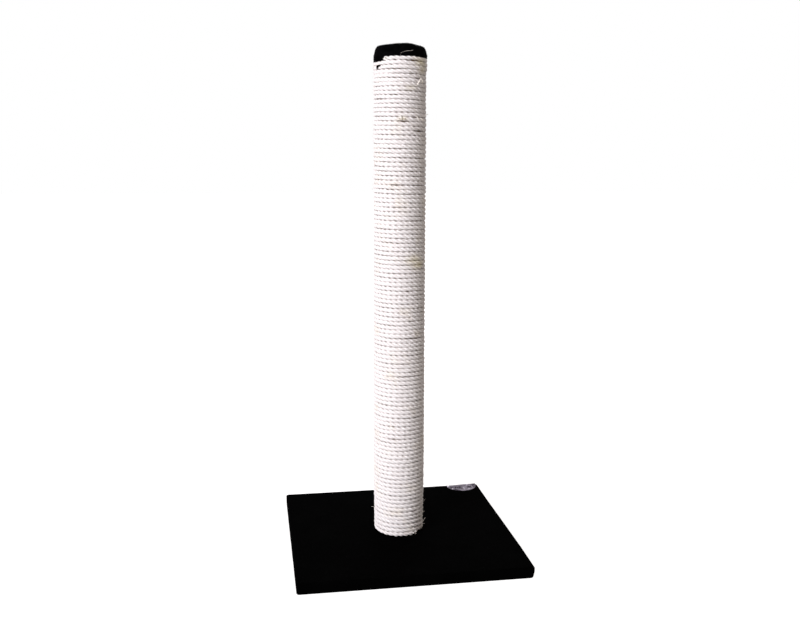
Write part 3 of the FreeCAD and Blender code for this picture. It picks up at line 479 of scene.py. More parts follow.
def fibreMesh(name, roots, ways, bends, lengths, thickness):
    # each fibre is a thin three-sided tube of two bays that ends in a point: at the share t of its
    # length it lies at root + way t + bend t squared
    count = len(roots)
    side = np.cross(ways, np.where(np.abs(ways[:, 2:]) > 0.9, [[1.0, 0, 0]], [[0, 0, 1.0]]))
    side /= np.linalg.norm(side, axis=1)[:, None]
    up = np.cross(ways, side)
    turns = tau * np.arange(3) / 3
    star = np.cos(turns)[None, :, None] * side[:, None] + np.sin(turns)[None, :, None] * up[:, None]
    rows = []
    for share, width in ((0, 1), (0.55, 0.8)):
        middle = roots + ways * (lengths * share)[:, None] + bends * (lengths * share ** 2)[:, None]
        rows.append(middle[:, None] + star * (thickness * width / 2)[:, None, None])
    tip = (roots + ways * lengths[:, None] + bends * lengths[:, None])[:, None]
    points = np.concatenate([*rows, tip], 1)
    j, k = np.arange(3), (np.arange(3) + 1) % 3
    first = (np.arange(count) * 7)[:, None, None]
    quads = (first + np.stack([j, k, k + 3, j + 3], -1)[None]).reshape(-1, 4)
    tips = (first + np.stack([j + 3, k + 3, np.full(3, 6)], -1)[None]).reshape(-1, 3)
    feet = (first[:, 0] + np.array([[2, 1, 0]])).reshape(-1, 3)
    return makeMesh(name, points.reshape(-1, 3), [quads, tips, feet])


def ropeFibres(helix, surface, count, rng):
    # fibres that lift out of the strands, most of them nearly along the rope
    ring = rng.integers(4, len(surface["s"]) - 4, count)
    column = rng.choice(np.flatnonzero(np.cos(surface["round"]) > -0.25), count)
    root = surface["points"][ring, column]
    onward = surface["onward"][ring] * rng.choice([-1, 1], count)[:, None]
    off = root - helixPoint(helix, surface["s"][ring])[0]
    off /= np.linalg.norm(off, axis=1)[:, None]
    lift = rng.uniform(0.04, 0.75, count) ** 1.6
    way = onward + off * lift[:, None] + rng.normal(0, 0.16, (count, 3))
    way /= np.linalg.norm(way, axis=1)[:, None]
    bend = rng.normal(0, 0.22, (count, 3)) - off * (lift * 0.35)[:, None]
    length = fuzz["shortest"] + (fuzz["longest"] - fuzz["shortest"]) * rng.beta(1.2, 3.2, count)
    return root - off * 0.1 * mm, way, bend, length


def endFibres(surface, atStart, count, rng):
    # a tuft that spreads out of a cut end
    ring, way = (0, -surface["onward"][0]) if atStart else (-1, surface["onward"][-1])
    middle = surface["points"][ring].mean(0)
    edge = surface["points"][ring][rng.integers(0, rope["pointsRound"], count)]
    share = rng.uniform(0.15, 0.97, count)[:, None]
    root = middle + (edge - middle) * share - way * 0.6 * mm
    spread = (edge - middle) / (3.5 * mm) * share * 0.5
    ways = way + spread + rng.normal(0, 0.13, (count, 3))
    ways /= np.linalg.norm(ways, axis=1)[:, None]
    return root, ways, rng.normal(0, 0.16, (count, 3)), rng.uniform(1.2, 3.4, count) * mm


def makeFuzz():
    rng = np.random.default_rng(77)
    total = upperHelix["length"] + lowerHelix["length"]
    upperCount = int(fuzz["count"] * upperHelix["length"] / total)
    groups = [ropeFibres(upperHelix, upperSurface, upperCount, rng),
              ropeFibres(lowerHelix, lowerSurface, fuzz["count"] - upperCount, rng)]
    for surface in (upperSurface, lowerSurface):
        groups += [endFibres(surface, atStart, fuzz["endTuft"], rng) for atStart in (True, False)]
    roots, ways, bends, lengths = (np.concatenate(column) for column in zip(*groups))
    piece = fibreMesh("ropeFuzz", roots, ways, bends, lengths,
                      fuzz["thickness"] * rng.uniform(0.7, 1.3, len(roots)))
    piece.data.materials.append(looseSisal)
    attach(piece, "root")


def makeLooseSisal():
    # single sisal fibres: the rope's own colour, a little glossier because nothing lies over them
    material, shader, add = newMaterial("sisal, single fibres")
    place = add("TexCoord", {})
    patches = add("TexNoise", {"Vector": place, "Scale": 1 / (6 * mm), "Detail": 1})
    color = add("Mix", {0: patches, 6: "#eadfd0", 7: "#fdfaf6"})
    setInputs(shader, {"Base Color": color, "Roughness": 0.55, "Specular IOR Level": 0.4})
    return material


looseSisal = makeLooseSisal()
makeFuzz()
print("fuzz: %d fibres" % fuzz["count"])


# the few long stray ends that the photograph shows

# each by its width in mm and its points: degrees round the post, height and distance from the axis
strays = {
    "overCap": (0.21, [(-98, 866.0, 46.4), (-96.5, 871.3, 47.5), (-92, 873.4, 47.7),
                       (-82, 875.4, 47.5), (-72, 876.6, 46.6)]),
    "overCapThin": (0.13, [(-90, 873.6, 47.5), (-84, 876.0, 47.5), (-77, 875.2, 47.5), (-69, 877.4, 46.2)]),
    "rightLoop": (2.3, [(-61, 819.8, 46.0), (-59, 823.8, 48.4), (-56, 828.0, 49.4), (-51, 832.0, 47.6)]),
    "rightLoopBack": (1.9, [(-51, 832.2, 46.8), (-50, 829.8, 48.8), (-47, 826.2, 49.2), (-44, 822.6, 47.0)]),
    "rightCurl": (1.4, [(-56, 826.2, 46.8), (-51, 825.6, 48.4), (-47, 824.2, 47.4)]),
    "joinHair": (2.0, [(-62, 769.8, 46.2), (-60, 766.4, 48.2), (-56, 763.6, 48.6), (-51, 762.2, 46.8)]),
    "joinHairRight": (2.0, [(-50, 766.8, 46.4), (-47, 764.0, 48.4), (-42, 762.4, 48.8), (-37, 763.6, 47.0)]),
    "edgeHair": (1.2, [(-42, 769.2, 46.1), (-35, 770.6, 48.2), (-28, 773.0, 49.2), (-21, 772.8, 50.2)]),
    "overJoin": (0.7, [(-104, 761.6, 45.8), (-98, 764.4, 47.2), (-92, 766.0, 47.4),
                       (-86, 764.0, 47.0), (-80, 761.4, 45.8)]),
    "overJoinLow": (0.6, [(-100, 766.2, 45.8), (-95, 763.0, 47.1), (-89, 761.6, 47.2), (-83, 765.2, 46.2)]),
    "belowJoin": (0.5, [(-84, 759.6, 46.2), (-76, 757.6, 47.5), (-66, 754.6, 47.2), (-58, 754.0, 46.4)]),
    "underJoin": (0.5, [(-78, 753.0, 46.2), (-70, 750.4, 47.4), (-62, 746.2, 46.8)]),
    "leftHair": (0.5, [(-166, 66.4, 46.2), (-174, 65.0, 47.8), (-182, 63.8, 50.6)]),
    "footHair": (0.5, [(-40, 36.6, 46.2), (-31, 38.6, 47.6), (-22, 42.8, 49.4), (-15, 42.2, 50.6)]),
    "footHairLow": (0.45, [(-36, 33.0, 46.2), (-27, 33.8, 48.0), (-20, 32.0, 49.6)]),
    "footHairHigh": (0.45, [(-30, 74.0, 46.0), (-22, 77.2, 47.8), (-15, 77.8, 49.4)]),
    "footHairMiddle": (0.4, [(-34, 55.0, 46.0), (-25, 56.2, 47.6), (-17, 55.0, 49.0)]),
}
# and a thread of the black cloth that is caught in the rope near the top, by the same measures
blackThread = (3.2, [(-153.5, 846.2, 46.4), (-152.5, 849.2, 47.5), (-149.5, 852.2, 47.5),
                     (-143.0, 852.8, 46.7)])


def strayMesh(name, ends, sides=5, rings=18):
    # thin tubes round smooth curves through the given points, each drawn out to a point at both ends
    turn = tau * np.arange(sides) / sides
    points, faces = [], []
    for k, (width, knots) in enumerate(ends):
        angle, height, away = np.array(knots).T
        angle = np.radians(angle)
        through = np.stack([away * np.cos(angle), away * np.sin(angle), height], -1) * mm
        line = smoothThrough(through, rings)
        along = np.gradient(line, axis=0)
        along /= np.linalg.norm(along, axis=1)[:, None]
        aside = np.cross(along, [0.3, 0.2, 1])
        aside /= np.linalg.norm(aside, axis=1)[:, None]
        upward = np.cross(along, aside)
        taper = np.sin(np.linspace(0.12, math.pi - 0.12, rings)) ** 0.5 * width * mm / 2
        star = (np.cos(turn)[None, :, None] * aside[:, None]
                + np.sin(turn)[None, :, None] * upward[:, None])
        points.append((line[:, None] + taper[:, None, None] * star).reshape(-1, 3))
        first = k * rings * sides
        faces.append(gridFaces(rings, sides, closeColumns=True)[:, ::-1] + first)
        caps = np.array([np.arange(sides), (rings - 1) * sides + np.arange(sides)[::-1]])
        faces.append(caps + first)
    return makeMesh(name, np.concatenate(points), faces)


def makeStrays():
    piece = strayMesh("ropeStrays", list(strays.values()))
    piece.data.materials.append(looseSisal)
    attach(piece, "root")


makeStrays()
print("strays: %d ends" % len(strays))


# the carpet wrapped round the base

carpet = {
    "thickness": 2 * mm,
    "edgeRounding": 2.9 * mm,
    "cornerRounding": 3.6 * mm,
    "hem": 35 * mm,
    "hemCorner": 1.2 * mm,
    "boltHole": 4.5 * mm,
    "mitreDepth": 1.5 * mm,
    "stapleInset": 18.5 * mm,   # the staples press the hem in along a line this far from the side
    "staplesPerSide": 7,
    "stapleDent": 1.05 * mm,    # how deep, and next half its width and half a staple's length
    "dentReach": (1.6 * mm, 8 * mm),
    "cornerSeamDepth": 0.45 * mm,
    "topRowStep": 7 * mm,
    "sideColumns": 52,
    "cornerColumns": 10,
    "flat": 0.51,               # the square was cut to this before it was wrapped
    # the felt's right side isn't quite straight: how far out it stands, in mm, from front to back
    "rightSide": ((-200, 1.5), (-115, 2.1), (0, 0.8), (110, -0.7), (200, -1.0)),
    "leanIn": 2.7 * mm,         # and at the floor it lies this much further in near the front corner
    "topWaves": (85 * mm, 0.14 * mm),
    "sideWaves": (60 * mm, 0.1 * mm),
}


def roundedSquare(half, rounding):
    # points round a square of a half side with rounded corners: each side is a straight stretch, then
    # a quarter circle. The columns stay at the same share of side and corner for every size.
    side, corner = carpet["sideColumns"], carpet["cornerColumns"]
    along = np.linspace(-1, 1, side, endpoint=False)
    turn = np.linspace(0, math.pi / 2, corner, endpoint=False)
    straight = half - rounding
    x = np.concatenate([along * straight, straight + rounding * np.sin(turn)])
    y = np.concatenate([np.full(side, -half), -straight - rounding * np.cos(turn)])
    quarters = []
    for k in range(4):
        c, s = round(math.cos(k * math.pi / 2)), round(math.sin(k * math.pi / 2))
        quarters.append(np.stack([c * x - s * y, s * x + c * y], -1))
    return np.concatenate(quarters)


def carpetProfile(half, top, wall):
    # distances from the middle and heights: from the bolt's hole out over the top, round the edge,
    # down the side, under the board to the hem's cut edge, and back along the felt's inner face
    r, bolt = carpet["edgeRounding"], carpet["boltHole"]
    topRows = np.arange(carpet["boltHole"], half - r - 4 * mm, carpet["topRowStep"])
    quarter = np.linspace(0, math.pi / 2, 7)
    hemEdge = half - carpet["hem"]
    outer = [(a, top) for a in topRows] + [(half - r - 2 * mm, top)]
    outer += [(half - r + r * math.sin(q), top - r + r * math.cos(q)) for q in quarter]
    outer += [(half, z) for z in np.linspace(top - r, r, 6)[1:-1]]
    outer += [(half - r + r * math.cos(q), r - r * math.sin(q)) for q in quarter]
    line = half - carpet["stapleInset"]
    hemRows = [*np.linspace(half - r, hemEdge + 0.3 * mm, 7)[1:],
               *(line + s * mm for s in (-2.4, -1, 1, 2.4))]         # closer rows for the dents
    outer += [(a, 0) for a in sorted(hemRows, reverse=True)]
    inner = [(hemEdge, 0.4 * mm), (hemEdge, wall - 0.3 * mm), (hemEdge + 0.3 * mm, wall)]
    inner += [(half - wall - 2 * mm, wall), (half - wall, wall + 2 * mm)]
    inner += [(half - wall, top - wall - 2 * mm), (half - wall - 2 * mm, top - wall)]
    inner += [(a, top - wall) for a in (half * 0.6, half * 0.3, bolt * 3, bolt)]
    return outer, inner


def stapleDents(points, half):
    # dents along the staple line: a bell across it, fuller over each staple, none away from it
    across = np.abs(points[..., :2]).max(-1) - (half - carpet["stapleInset"])
    along = np.abs(points[..., :2]).min(-1)
    step = 2 * (half - carpet["hem"]) / carpet["staplesPerSide"]
    fromStaple = along - step * np.minimum(np.round(along / step), carpet["staplesPerSide"] // 2)
    breadth, length = carpet["dentReach"]
    dent = (carpet["stapleDent"] * np.exp(-(across / breadth) ** 2)
            * (0.4 + 0.6 * np.exp(-(fromStaple / length) ** 4)))
    return np.where(np.abs(across) < 5 * mm, dent, 0)


def makeBaseCarpet():
    # the profile carried round the square, and then the marks of the work on the felt's outer face
    half, top = baseHalf, boardTop + carpet["thickness"]
    r, wall = carpet["edgeRounding"], carpet["thickness"] - 0.05 * mm
    outer, inner = carpetProfile(half, top, wall)
    profile = np.array(outer + inner)
    columns = 4 * (carpet["sideColumns"] + carpet["cornerColumns"])
    points = np.empty((len(profile), columns, 3))
    for row, (a, z) in enumerate(profile):
        rounding = min(carpet["cornerRounding"], a * 0.98)
        if z < wall + 1 * mm and a < half - r:
            rounding = carpet["hemCorner"]           # the hem's corners are mitred
        points[row, :, :2] = roundedSquare(a, rounding)
        points[row, :, 2] = z
    isOuter = (np.arange(len(profile)) < len(outer))[:, None]
    flatTop = isOuter & (points[..., 2] > top - 0.1 * mm)
    reach = np.hypot(points[..., 0], points[..., 1])
    # the top's waves are flat under the post and towards the corners
    settle = (np.clip((reach - 50 * mm) / (40 * mm), 0, 1)
              * np.clip((half - reach + 60 * mm) / (30 * mm), 0, 1))
    points[..., 2] += np.where(flatTop, ripples(points, *carpet["topWaves"], 5) * settle, 0)
    # the side is not quite straight, and the corners show the butted edges of the felt
    column = np.arange(columns) % (carpet["sideColumns"] + carpet["cornerColumns"])
    fromCorner = np.abs(column - carpet["sideColumns"] - carpet["cornerColumns"] / 2)
    seam = np.clip(1.5 - fromCorner, 0, 1)[None, :]
    onSide = isOuter & (points[..., 2] < top - r * 0.5) & (points[..., 2] > 0.5 * mm)
    wide = points[..., :2] / np.linalg.norm(points[..., :2], axis=-1)[..., None]
    push = ripples(points, *carpet["sideWaves"], 6) - 0.1 * mm - seam * carpet["cornerSeamDepth"]
    points[..., :2] += wide * np.where(onSide, push, 0)[..., None]
    underHem = isOuter & (points[..., 2] < 0.2 * mm) & (reach < 1.42 * (half - r))
    points[..., 2] += np.where(underHem, seam * carpet["mitreDepth"], 0)
    onHem = isOuter & (points[..., 2] < 0.2 * mm)
    points[..., 2] += np.where(onHem, stapleDents(points, half), 0)
    stations, stands = np.array(carpet["rightSide"]).T * mm
    x, y = points[..., 0], points[..., 1]
    share = np.clip(x / half, 0, 1) ** 6
    low = np.clip(1 - points[..., 2] / (12 * mm), 0, 1) * np.clip((-y - 0.1) / 0.1, 0, 1)
    points[..., 0] = x + share * (np.interp(y, stations, stands) - carpet["leanIn"] * low)
    faces = gridFaces(len(profile), columns, closeRows=True, closeColumns=True)
    piece = makeMesh("baseCarpet", points.reshape(-1, 3), [faces])
    piece.data.materials.append(needleFelt)
    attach(piece, "root")
    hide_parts("base_carpet")


def makeNeedleFelt():
    # needle felt of black polyester: dead matt, a tangle of short fibres that only shows close up
    material, shader, add = newMaterial("needle felt carpet, black")
    place = add("TexCoord", {})
    tangle = add("TexNoise", {"Vector": place, "Scale": 1 / (1.1 * mm), "Detail": 4, "Roughness": 0.7})
    loops = add("TexVoronoi", {"Vector": place, "Scale": 1 / (2.2 * mm)})
    wear = add("TexNoise", {"Vector": place, "Scale": 1 / (55 * mm), "Detail": 3})
    black = tint(add, "#010101", "#040404", tangle, 0.38, 0.72)
    color = tint(add, black, "#060606", wear, 0.45, 0.75, 0.35)
    bump = add("Bump", {"Height": tangle, "Distance": 0.5 * mm, "Strength": 0.8})
    nap = add("Bump", {"Height": loops, "Distance": 0.35 * mm, "Strength": 0.5, "Normal": bump})
    setInputs(shader, {"Base Color": color, "Normal": nap, "Roughness": 0.95,
                       "Specular IOR Level": 0.003})
    return material


needleFelt = makeNeedleFelt()
makeBaseCarpet()
print("base carpet: done")


# the plush cap

cap = {
    "innerRowBelow": 4.1 * mm,   # the inner face has a row this far below the tube's end
    # the crown's profile in mm: radius, and fall from the top
    "crown": ((0, 0), (18, 0.1), (31, 0.9), (37.6, 2.7), (41.2, 6.2), (43.4, 10.0), (44.7, 14.0)),
    "shoulderRadius": 41.4 * mm,
    "skirtRadius": 46.1 * mm,
    "bulgeAbove": 3 * mm,        # above the winding's top
    "ropeClearance": 0.3 * mm,
    "tubeClearance": 0.2 * mm,
    "gathers": 15,
    "gatherDepth": 1.9 * mm,
    "lumps": 0.55 * mm,
    "lumpSizes": (21 * mm, 9 * mm),
    "scallop": 0.95 * mm,        # its edge falls into the rope's strands
    "edgeStep": 1.6,             # degrees in which the edge climbs over the rope's end
    "edgeRadius": 1.1 * mm,
    # the plush is drawn flat between folds: azimuth, slope in degrees, start of the slope from the axis
    "flats": ((-36, 21, 24 * mm), (206, 7, 9 * mm), (118, 11, 20 * mm), (62, 14, 24 * mm)),
    "lean": (1.0 * mm, -10),     # the whole cap sits to one side: how far, and which way in degrees
    "flatBlend": 0.35 * mm,
    "columns": 300,
    "flatDiameter": 130 * mm,    # the round of plush before it was drawn over the post
    "pile": 7000,
    "pileLength": 1.1 * mm,
}


def skirtEdge(angle):
    # the lower edge lies on the rope's first turn: it falls by one pitch in a turn from the rope's
    # cut end, and steps up again beside that end
    pitch = rope["upperDiameter"] + rope["leastGap"]
    inside = tubeRadius + rope["tubeClearance"]
    outside = inside + rope["upperDiameter"] / 2
    deepEnd = (math.radians(rope["topAngle"]) - math.atan(rope["upperDiameter"] / inside)
               + math.atan(rope["upperDiameter"] / outside) - rope["tubeClearance"] / inside)
    step = math.radians(cap["edgeStep"])
    turned = (angle - deepEnd) % tau
    share = np.where(turned > tau - step, (tau - turned) / step, 1) * np.minimum(turned, tau - step) / tau
    strands = np.abs(np.sin(angle * math.pi * outside / rope["lay"] * 3))
    scallop = cap["scallop"] * (strands ** 0.6 - 0.72)
    level = windingTop + cap["ropeClearance"] - pitch * share + scallop
    return level - topSag(angle, level)


def capProfile(angle):
    # the profile's rows at each angle, as radius and height: from the middle of the crown out over
    # the shoulder, down the skirt, in under it and back up along tube and plug
    edge = skirtEdge(angle)
    tube = tubeRadius + cap["tubeClearance"]
    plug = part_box("top_plug")[1].x + cap["tubeClearance"]
    bulgeZ, innerRow = windingTop + cap["bulgeAbove"], topOfTube - cap["innerRowBelow"]
    knots = [(radius * mm, capTop - fall * mm) for radius, fall in cap["crown"]]
    upper = smoothThrough([*knots, (cap["skirtRadius"], bulgeZ)], 52)
    rows = list(upper)
    lower = np.linspace(0, 1, 9)[1:]
    for share in lower:                                 # from the bulge down to the edge
        rows.append((cap["skirtRadius"] - 0.3 * mm * share ** 2,
                     bulgeZ + (edge + cap["edgeRadius"] - bulgeZ) * share))
    for inset, drop in ((0.35, 0.55), (1.3, 1.0), (3.2, 1.1), (5.6, 1.05)):
        rows.append((cap["skirtRadius"] - inset * mm - 0.3 * mm, edge + cap["edgeRadius"] - drop * mm))
    tubeTop, overPlug = topOfTube + cap["tubeClearance"], plugTop + 0.15 * mm
    rows += [(tube, edge + 0.9 * mm), (tube, innerRow), (tube, tubeTop), (plug, tubeTop),
             (plug, overPlug), (plug * 0.5, overPlug), (0, overPlug)]
    grid = [np.stack([np.full_like(angle, radius), height + 0 * angle], -1) for radius, height in rows]
    return np.array(grid), upper, len(lower)


def capSurface():
    # the profile turned about the post. Gathers draw the skirt in by up to their depth, more towards
    # the lower edge, lumps lift the whole cloth a little, and it is drawn flat here and there.
    angle = tau * np.arange(cap["columns"]) / cap["columns"]
    grid, upper, lower = capProfile(angle)              # rows, columns, (radius, height)
    bulgeZ = windingTop + cap["bulgeAbove"]
    uneven = angle + wander(angle, 0.42, 0.16, 21) * np.sin(angle / 2) ** 2
    wave = np.abs(np.sin(uneven * cap["gathers"] / 2))
    gather = 1 - wave ** 0.75                           # narrow valleys between full folds
    strength = 0.65 + 0.35 * np.sin(angle * 3 + 0.8) * np.sin(angle * 2 + 2.0)
    outerRows = len(upper) + lower + 4
    depth = np.zeros(len(grid))
    ease = np.clip((topOfTube + 5 * mm - upper[:, 1]) / (topOfTube + 5 * mm - bulgeZ), 0, 1)
    depth[:len(upper)] = ease ** 1.5 * 0.75
    depth[len(upper):outerRows] = np.linspace(0.75, 1, outerRows - len(upper))
    grid[..., 0] -= depth[:, None] * cap["gatherDepth"] * (gather * strength)[None, :]
    points = np.stack([grid[..., 0] * np.cos(angle), grid[..., 0] * np.sin(angle), grid[..., 1]], -1)
    outward = np.stack([np.cos(angle), np.sin(angle), 0 * angle], -1)[None]
    lean = np.clip(grid[..., 0] / cap["shoulderRadius"], 0, 1)[..., None] ** 3
    normal = outward * lean + np.array([0, 0, 1.0]) * (1 - lean)
    coarse, fine = cap["lumpSizes"]
    bump = ripples(points, coarse, cap["lumps"], 31) + ripples(points, fine, cap["lumps"] * 0.45, 32)
    isOuter = (np.arange(len(grid)) < len(upper) + lower)[:, None]
    fade = np.clip((points[..., 2] - (windingTop - 4 * mm)) / (6 * mm), 0.25, 1)
    points += normal * (np.where(isOuter, bump - 0.35 * cap["lumps"], 0) * fade)[..., None]
    soft = cap["flatBlend"]
    for azimuth, slope, start in cap["flats"]:          # the lower of the dome and a slanting plane
        toward = math.radians(azimuth)
        way = points[..., 0] * math.cos(toward) + points[..., 1] * math.sin(toward)
        above = points[..., 2] - (capTop - math.tan(math.radians(slope)) * (way - start))
        cut = soft * np.logaddexp(0, above / soft)
        points[..., 2] -= np.where(isOuter, cut, 0)
    far, way = cap["lean"][0], math.radians(cap["lean"][1])
    points[..., :2] += np.where(isOuter, far, 0)[..., None] * [math.cos(way), math.sin(way)]
    points[0] = points[0].mean(0)
    points[-1] = points[-1].mean(0)
    return points, outerRows


def makeCap():
    points, outerRows = capSurface()
    rows, columns = points.shape[:2]
    body = points[1:-1].reshape(-1, 3)
    faces = gridFaces(rows - 2, columns, closeColumns=True)
    poles = np.stack([points[0, 0], points[-1, 0]])
    j = np.arange(columns)
    k = (j + 1) % columns
    last = (rows - 3) * columns
    top = np.stack([np.full(columns, len(body)), j, k], -1)
    under = np.stack([np.full(columns, len(body) + 1), last + k, last + j], -1)
    piece = makeMesh("capPlush", np.concatenate([body, poles]), [faces, top, under])
    piece.data.materials.append(plushCloth)
    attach(piece, "root")
    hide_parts("cap_carpet")
    makePile(points[:outerRows - 3])


def makePile(points):
    # short tufts that stand off the plush, so that its outline is soft
    rng = np.random.default_rng(91)
    across = np.roll(points, -1, 1) - np.roll(points, 1, 1)
    down = np.gradient(points, axis=0)
    normal = np.cross(down, across)
    area = np.linalg.norm(normal, axis=-1)
    normal /= np.maximum(area, 1e-12)[..., None]
    flat = rng.choice(area.size, cap["pile"], p=(area / area.sum()).ravel())
    root, up = points.reshape(-1, 3)[flat], normal.reshape(-1, 3)[flat]
    root = root + rng.normal(0, 0.25 * mm, root.shape) - up * 0.25 * mm
    ways = up + rng.normal(0, 0.55, root.shape) + [0, 0, -0.35]
    ways /= np.linalg.norm(ways, axis=1)[:, None]
    lengths = cap["pileLength"] * rng.uniform(0.6, 1.4, len(root))
    piece = fibreMesh("capPile", root, ways, rng.normal(0, 0.15, root.shape), lengths,
                      0.22 * mm * rng.uniform(0.7, 1.3, len(root)))
    piece.data.materials.append(plushCloth)
    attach(piece, "root")


def makePlush():
    # short polyester plush: black, each tuft's tip a little greyer, so that it greys at its edges
    material, shader, add = newMaterial("polyester plush, black")
    place = add("TexCoord", {})
    tufts = add("TexNoise", {"Vector": place, "Scale": 1 / (1.3 * mm), "Detail": 3, "Roughness": 0.65})
    brushed = add("TexNoise", {"Vector": place, "Scale": 1 / (11 * mm), "Detail": 3})
    black = tint(add, "#010101", "#050506", tufts, 0.4, 0.68)
    color = tint(add, black, "#09080a", brushed, 0.4, 0.7)
    bump = add("Bump", {"Height": tufts, "Distance": 0.7 * mm, "Strength": 0.85})
    setInputs(shader, {"Base Color": color, "Normal": bump, "Roughness": 0.9,
                       "Specular IOR Level": 0.008, "Sheen Weight": 0.006,
                       "Sheen Roughness": 0.45, "Sheen Tint": "#b8b8bc"})
    return material


plushCloth = makePlush()
makeCap()
caught = strayMesh("caughtThread", [blackThread])
caught.data.materials.append(plushCloth)
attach(caught, "root")
print("cap: done")


# the plain foil label

label = {
    "diameter": 62 * mm,
    "thickness": 0.3 * mm,
    "glue": 0.05 * mm,
    "sideInset": 5.5 * mm,       # from the base's right side to the label's edge
    "middleFromRear": 1 * mm,
    "aboveFloor": 3 * mm,
    "bend": 3 * mm,              # rounding of the carpet's rear edge
    "rows": 110,
    "columns": 90,
    "wrinkles": 13,
    "wrinkle": 0.30 * mm,
    "curl": 1.5 * mm,            # it stands off the rounded rear edge, most at its right end
}


def makeLabel():
    # a round sheet measured along its fold: q runs from its front over the rear edge and down, p to
    # the right. A point lies on the top, on the quarter circle of the bend or on the rear side.
    radius, bend = label["diameter"] / 2, label["bend"]
    rows, wide = label["rows"], label["columns"]
    top = boardTop + carpet["thickness"]
    middleX = baseHalf - radius - label["sideInset"]
    bendStart = bend - label["middleFromRear"]           # the fold begins this far behind the middle
    arc = math.pi / 2 * bend
    last = arc + top - bend - label["aboveFloor"] - bendStart
    # closer rows at the rounded front, so that the outline stays round
    q = -radius + (last + radius) * np.linspace(0, 1, rows) ** 1.35
    half = np.sqrt(np.maximum(radius ** 2 - q ** 2, 0)) * 0.999 + 0.02 * mm
    p = np.linspace(-1, 1, wide)[None, :] * half[:, None]
    q = np.repeat(q[:, None], wide, 1)
    flat = np.stack([p, q, np.zeros_like(p)], -1)
    crease = np.zeros_like(p)
    rng = np.random.default_rng(8)
    for _ in range(label["wrinkles"]):                   # sharp little ridges in random directions
        turn, shift = rng.uniform(0, math.pi), rng.uniform(-0.8, 0.8) * radius
        width, sway = rng.uniform(0.5, 1.3) * mm, rng.uniform(-1, 1) * 2 * mm
        away = p * math.cos(turn) + q * math.sin(turn) - shift
        length = -p * math.sin(turn) + q * math.cos(turn) - rng.uniform(-0.6, 0.6) * radius
        away = away + sway * np.sin(length / (9 * mm))
        reach, strength = rng.uniform(6, 14) * mm, rng.uniform(0.4, 1)
        crease += strength * np.exp(-(away / width) ** 2 - (length / reach) ** 2)
    lift = label["wrinkle"] * crease + ripples(flat, 12 * mm, 0.07 * mm, 9) + 0.08 * mm
    lift = np.clip(lift, 0, 0.7 * mm)
    overBend = np.exp(-((q - bendStart) / (5 * mm)) ** 2)
    lift = lift + label["curl"] * overBend * np.clip(0.5 + p / radius, 0, 1)
    faces = gridFaces(rows, wide)
    sides = []
    for offset in (label["glue"] + label["thickness"], label["glue"]):
        height = offset + lift
        behind = q - bendStart
        turn = np.clip(behind / arc, 0, 1) * math.pi / 2
        reach = bend + height
        y = baseHalf - bend + np.minimum(behind, 0) + reach * np.sin(turn)
        z = top - bend + reach * np.cos(turn) - np.maximum(behind - arc, 0)
        sides.append(np.stack([middleX + p, y, z], -1))
    points = np.concatenate([side.reshape(-1, 3) for side in sides])
    count = rows * wide
    places = np.arange(count).reshape(rows, wide)
    rim = np.concatenate([places[0], places[1:, -1], places[-1, -2::-1], places[-2:0:-1, 0]])
    nextRim = np.roll(rim, -1)
    wall = np.stack([rim, nextRim, nextRim + count, rim + count], -1)
    piece = makeMesh("foilLabel", points, [faces, (faces + count)[:, ::-1], wall[:, ::-1]])
    piece.data.materials.append(foil)
    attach(piece, "root")
    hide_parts("blank_label")


def makeFoil():
    # metallised polyester film on paper: a soft grey shine, broken by small creases; the pale
    # streaks laid into its colour are painted highlights of the creases
    material, shader, add = newMaterial("metallised film label, plain")
    place = add("TexCoord", {})
    crinkle = add("TexNoise", {"Vector": place, "Scale": 1 / (4.5 * mm), "Detail": 3})
    haze = add("TexNoise", {"Vector": place, "Scale": 1 / (9 * mm), "Detail": 4})
    grey = tint(add, "#3c383d", "#7d787f", haze, 0.38, 0.66)
    crossing = add("Mapping", {"Vector": place, "Scale": (1 / (5 * mm), 1 / (16 * mm), 1),
                               "Rotation": (0, 0, 0.75)})
    paintedCreaseGlints = add("TexNoise", {"Vector": crossing, "Scale": 1, "Detail": 2})
    # painted highlights: pale streaks that stand for the glints on the creases
    color = tint(add, grey, "#d8d4da", paintedCreaseGlints, 0.60, 0.68)
    dull = add("MapRange", {"Value": haze, "To Min": 0.42, "To Max": 0.6})
    bump = add("Bump", {"Height": crinkle, "Distance": 0.25 * mm, "Strength": 0.5})
    setInputs(shader, {"Base Color": color, "Normal": bump, "Roughness": dull, "Metallic": 0.85,
                       "Specular Tint": "#8a868b"})
    return material


foil = makeFoil()
makeLabel()
print("label: done")


# finishes of the pieces that keep their own shape

def makeChipboard():
    # raw chipboard: pressed wood chips, mostly lying flat, tan with darker and paler flakes
    material, shader, add = newMaterial("chipboard, raw")
    place = add("TexCoord", {})
    flakes = add("Mapping", {"Vector": place, "Scale": (1, 1.9, 3), "Rotation": (0, 0, 0.5)})
    chips = add("TexVoronoi", {"Vector": flakes, "Scale": 1 / (6 * mm), "Randomness": 1})
    small = add("TexVoronoi", {"Vector": place, "Scale": 1 / (2.4 * mm)})
    grain = add("TexNoise", {"Vector": flakes, "Scale": 1 / (1.4 * mm), "Detail": 4})
    shade = add("SeparateColor", {"Color": chips.outputs["Color"]})
    fine = add("SeparateColor", {"Color": small.outputs["Color"]})
    tan = add("Mix", {0: shade.outputs["Red"], 6: "#b08a5c", 7: "#d9bc8e"})
    flecked = tint(add, tan, "#8a6540", fine.outputs["Green"], 0.5, 1.0, 0.55)
    color = tint(add, flecked, "#e6cfa6", grain, 0.35, 0.75, 0.4)
    bump = add("Bump", {"Height": chips, "Distance": 0.3 * mm, "Strength": 0.5})
    setInputs(shader, {"Base Color": color, "Normal": bump, "Roughness": 0.78})
    return material


